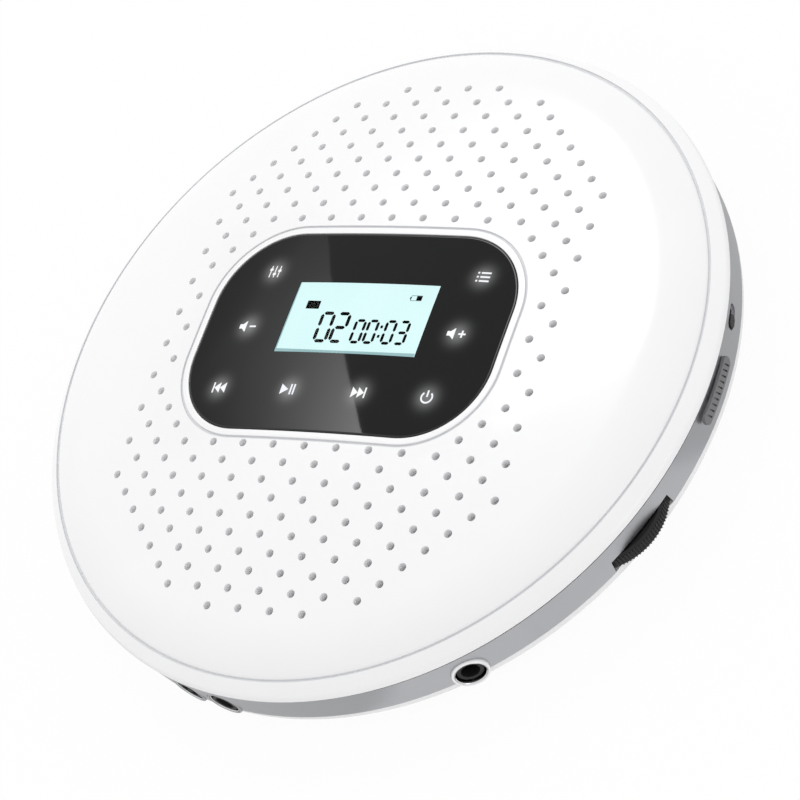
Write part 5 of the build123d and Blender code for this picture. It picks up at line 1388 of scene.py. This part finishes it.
# ---------------------------------------------------------------- studio
@dataclass
class Studio:
    """Camera, floor and lamps.

    Attributes:
        azimuth, elevation, roll: where the camera stands and how it is turned, in degrees.
        distance: from the object's middle, in mm.
        lens: focal length.
        lift: height of the point that the distance is taken from.
        right, up: how far the camera stands aside from that point.
        sky: strength of the soft light from all sides.
        floor_size: length of the floor's side.
    """

    azimuth: float = -36.07
    elevation: float = 46.09
    roll: float = -41.83
    distance: float = 609.0
    lens: float = 144.0
    lift: float = 19.78
    right: float = 7.222
    up: float = -10.780
    sky: float = 0.9
    floor_size: float = 6000.0

    def camera(self) -> bpy.types.Object:
        """Sets up the camera.

        Returns:
            The camera.
        """
        azimuth, elevation, roll = (radians(a) for a in (self.azimuth, self.elevation, self.roll))
        back = Vector((cos(azimuth) * cos(elevation), sin(azimuth) * cos(elevation), sin(elevation)))
        side = (-back).cross(UP).normalized()
        top = side.cross(-back)
        turned_side = cos(roll) * side + sin(roll) * top
        turned_top = cos(roll) * top - sin(roll) * side
        spot = self.lift * UP + self.distance * back + self.right * turned_side + self.up * turned_top
        eye = placed("camera", bpy.data.cameras.new("camera"))
        turn = Matrix((turned_side, turned_top, back)).transposed().to_4x4()
        eye.matrix_world = Matrix.Translation(spot * MM) @ turn
        eye.data.lens = self.lens
        eye.data.sensor_width = 36.0
        eye.data.clip_start, eye.data.clip_end = 0.02, 50.0
        bpy.context.scene.camera = eye
        return eye

    def seen(self, tree: bpy.types.NodeTree) -> bpy.types.NodeSocket:
        """Returns 1 for camera, glossy and transmission rays, and 0 for the rest."""
        path = add(tree, "ShaderNodeLightPath").outputs
        pair = combine(tree, "MAXIMUM", path["Is Camera Ray"], path["Is Glossy Ray"])
        return combine(tree, "MAXIMUM", pair, path["Is Transmission Ray"])

    def surroundings(self) -> None:
        """Makes the world: plain soft light, and white where it is seen."""
        world = bpy.data.worlds.new("studio")
        world.use_nodes = True
        tree = world.node_tree
        tree.nodes.clear()
        light, white = (
            add(tree, "ShaderNodeBackground", {"Color": linear("#ffffff"), "Strength": strength}).outputs[0]
            for strength in (self.sky, 1.0)
        )
        mixed = add(tree, "ShaderNodeMixShader", {0: self.seen(tree), 1: light, 2: white}).outputs[0]
        add(tree, "ShaderNodeOutputWorld", {"Surface": mixed})
        bpy.context.scene.world = world

    def floor(self) -> None:
        """Lays the floor: white where it is seen, with the object's shadow kept."""
        made, tree, place = new_material("Studio_paper_white")
        tone = blend(tree, noise(tree, place, 200.0), "#f6f6f6", "#f4f4f4")
        matte = add(tree, "ShaderNodeBsdfDiffuse", {"Color": tone}).outputs[0]
        white = add(tree, "ShaderNodeEmission", {"Color": linear("#ffffff"), "Strength": 1.0}).outputs[0]
        share = combine(tree, "MULTIPLY", self.seen(tree), 0.94)
        close_material(tree, add(tree, "ShaderNodeMixShader", {0: share, 1: matte, 2: white}).outputs[0])
        ground = Shell()
        ground.put(flat(rectangle(self.floor_size, self.floor_size)), [(0, 1, 2, 3)])
        ground.piece("studio_floor", made)

    def lamp(self, name: str, spot: Point, aim: Point, size: tuple[float, float], watts: float) -> None:
        """Hangs a soft lamp.

        Args:
            name: the lamp's name.
            spot: where it hangs, in mm.
            aim: the point that it faces, in mm.
            size: its length and width in mm.
            watts: its power.
        """
        data = bpy.data.lights.new(name, "AREA")
        data.shape = "RECTANGLE"
        data.size, data.size_y = (part * MM for part in size)
        data.energy = watts
        turn = (Vector(aim) - Vector(spot)).to_track_quat("-Z", "Y").to_matrix().to_4x4()
        placed(name, data).matrix_world = Matrix.Translation(Vector(spot) * MM) @ turn

    def card(self, name: str, corners: Sequence[Vector], finish: bpy.types.Material) -> None:
        """Hangs a flat card that only reflections show.

        Args:
            name: the card's name.
            corners: its corners in mm.
            finish: its material.
        """
        sheet = Shell()
        sheet.put(corners, [(0, 1, 2, 3)])
        made = sheet.piece(name, finish)
        uv = made.data.uv_layers.new(name="card")
        places = ((0, 0), (1, 0), (1, 1), (0, 1))
        for corner in made.data.loops:
            spot = made.data.vertices[corner.vertex_index].co / MM
            nearest = min(range(4), key=lambda n: (spot - corners[n]).length)
            uv.data[corner.index].uv = places[nearest]
        made.visible_camera = made.visible_diffuse = made.visible_shadow = False

    def dim_finish(self, name: str, scale: float, least: float, most: float) -> bpy.types.Material:
        """Builds the finish of a card that glows faintly and a little unevenly.

        Args:
            name: the finish's name.
            scale: scale of the unevenness.
            least: its weakest glow.
            most: its strongest glow.

        Returns:
            The material.
        """
        made, tree, place = new_material(name)
        level = stretch(tree, noise(tree, place, scale), least, most)
        close_material(tree, add(tree, "ShaderNodeEmission", {"Strength": level}).outputs[0])
        return made

    def mirrored(self, eye: bpy.types.Object, lid: Lid, x: float, y: float, far: float) -> Vector:
        """Follows the line of sight off the panel.

        Args:
            eye: the camera.
            lid: the lid that carries the panel.
            x: place on the panel.
            y: place on the panel.
            far: how far behind the panel's middle the card hangs.

        Returns:
            The point of the card that the camera sees mirrored there.
        """
        spot = lid.dome.point(x, y, lid.panel_sink)
        normal = (spot - Vector((0, 0, lid.dome.crown - lid.dome.curve))).normalized()
        sight = (spot - eye.matrix_world.translation / MM).normalized()
        back = sight.reflect(normal)
        middle = lid.dome.point(0, lid.outline.y)
        axis = (middle - eye.matrix_world.translation / MM).normalized().reflect(UP)
        return spot + back * ((middle + axis * far - spot).dot(axis) / back.dot(axis))

    def reflections(self, eye: bpy.types.Object, lid: Lid) -> None:
        """Hangs what the panel mirrors: a dim card, and before it a softbox with one straight edge."""
        half_length, half_width, y = lid.outline.length / 2 + 4, lid.outline.width / 2 + 4, lid.outline.y
        corners = [self.mirrored(eye, lid, a * half_length, y + b * half_width, 900)
                   for a, b in ((-1, -1), (1, -1), (1, 1), (-1, 1))]
        self.card("dim_card", corners, self.dim_finish("Studio_card_dim", 2.0, 0.36, 0.46))
        bright, tree, _ = new_material("Studio_softbox_graded")
        across = add(tree, "ShaderNodeSeparateXYZ", {0: add(tree, "ShaderNodeUVMap").outputs[0]}).outputs
        near_edge = combine(tree, "POWER", across[0], 2.6)
        fall = combine(tree, "POWER", stretch(tree, across[1], 1.0, 0.0), 1.7)
        low_part = combine(tree, "ADD", combine(tree, "MULTIPLY", fall, 3.7), 0.28)
        strength = combine(tree, "ADD", combine(tree, "MULTIPLY", near_edge, low_part), 0.4)
        close_material(tree, add(tree, "ShaderNodeEmission", {"Strength": strength}).outputs[0])
        box = ((-35.8, -25.2), (13.7, -25.2), (-14.9, 23.1), (-35.8, 23.1))
        self.card("softbox", [self.mirrored(eye, lid, a, b, 880) for a, b in box], bright)

    def shaded_floor(self, lid: Lid) -> None:
        """Lays two dim cards on the floor, which grade the band from its bright front right to its ends."""
        dim = self.dim_finish("Studio_card_floor", 3.0, 0.68, 0.76)
        for name, first, last in (("floor_card_right", -12, 60), ("floor_card_front", -140, -70)):
            corners = [polar(lid.radius + 6, first, 0.6), polar(460, first, 0.6), polar(460, last, 0.6),
                       polar(lid.radius + 6, last, 0.6)]
            self.card(name, corners, dim)

    def build(self, lid: Lid) -> None:
        """Sets up the whole studio."""
        eye = self.camera()
        self.surroundings()
        self.floor()
        self.lamp("key", (-420, 620, 900), (0, 0, 10), (500, 500), 2.6)
        self.lamp("side", (700, -120, 260), (60, -20, 8), (320, 260), 0.25)
        self.reflections(eye, lid)
        self.shaded_floor(lid)
        bpy.context.scene.view_settings.view_transform = "Standard"


# ---------------------------------------------------------------- all together
def dress_bare_nodes() -> None:
    """Gives every CAD node that stays in view the finish of its slot."""
    finishes = bare_nodes()
    special = {"spindle_motor": TURNED_STEEL, "sled_motor": TURNED_STEEL, "open_slider": SLIDER_METAL,
               "hinge_block": WHITE_SHELL, "grille_cloth": SPEAKER_CLOTH}
    slots = {part["node"]: part["material_slot"] for part in frame["record"]["subparts"]}
    for name, node in frame["nodes"].items():
        finish = special.get(name, finishes[slots[name]])
        for place in node.material_slots:
            place.material = Paint.of(finish)
        log.info("%s keeps its CAD shape in %s", name, finish.name)


def ring_of_spots(radius: float, count: int, start: float = 0.0) -> tuple[tuple[float, float], ...]:
    """Returns points evenly spaced on a circle of the plan."""
    return tuple(tuple(polar(radius, start + 360 * n / count).xy) for n in range(count))


def main() -> None:
    """Builds the player and its studio."""
    logging.basicConfig(level=logging.INFO, format="%(name)s: %(message)s")
    bpy.context.scene.unit_settings.system = "METRIC"
    dress_bare_nodes()
    lid = Lid()
    Studio().build(lid)
    dress(lid.shell(), "lid", "white_shell", "lid_shell")
    DisplayPanel(lid).build()
    Rim().build()
    Screws("case_screws", "base", 2.0, 1.0, ring_of_spots(55.0, 4, 45.0)).build()
    Screws("liner_screws", "lid", 1.5, 0.8, ring_of_spots(58.5, 6)).build()


if __name__ == "__main__":
    main()
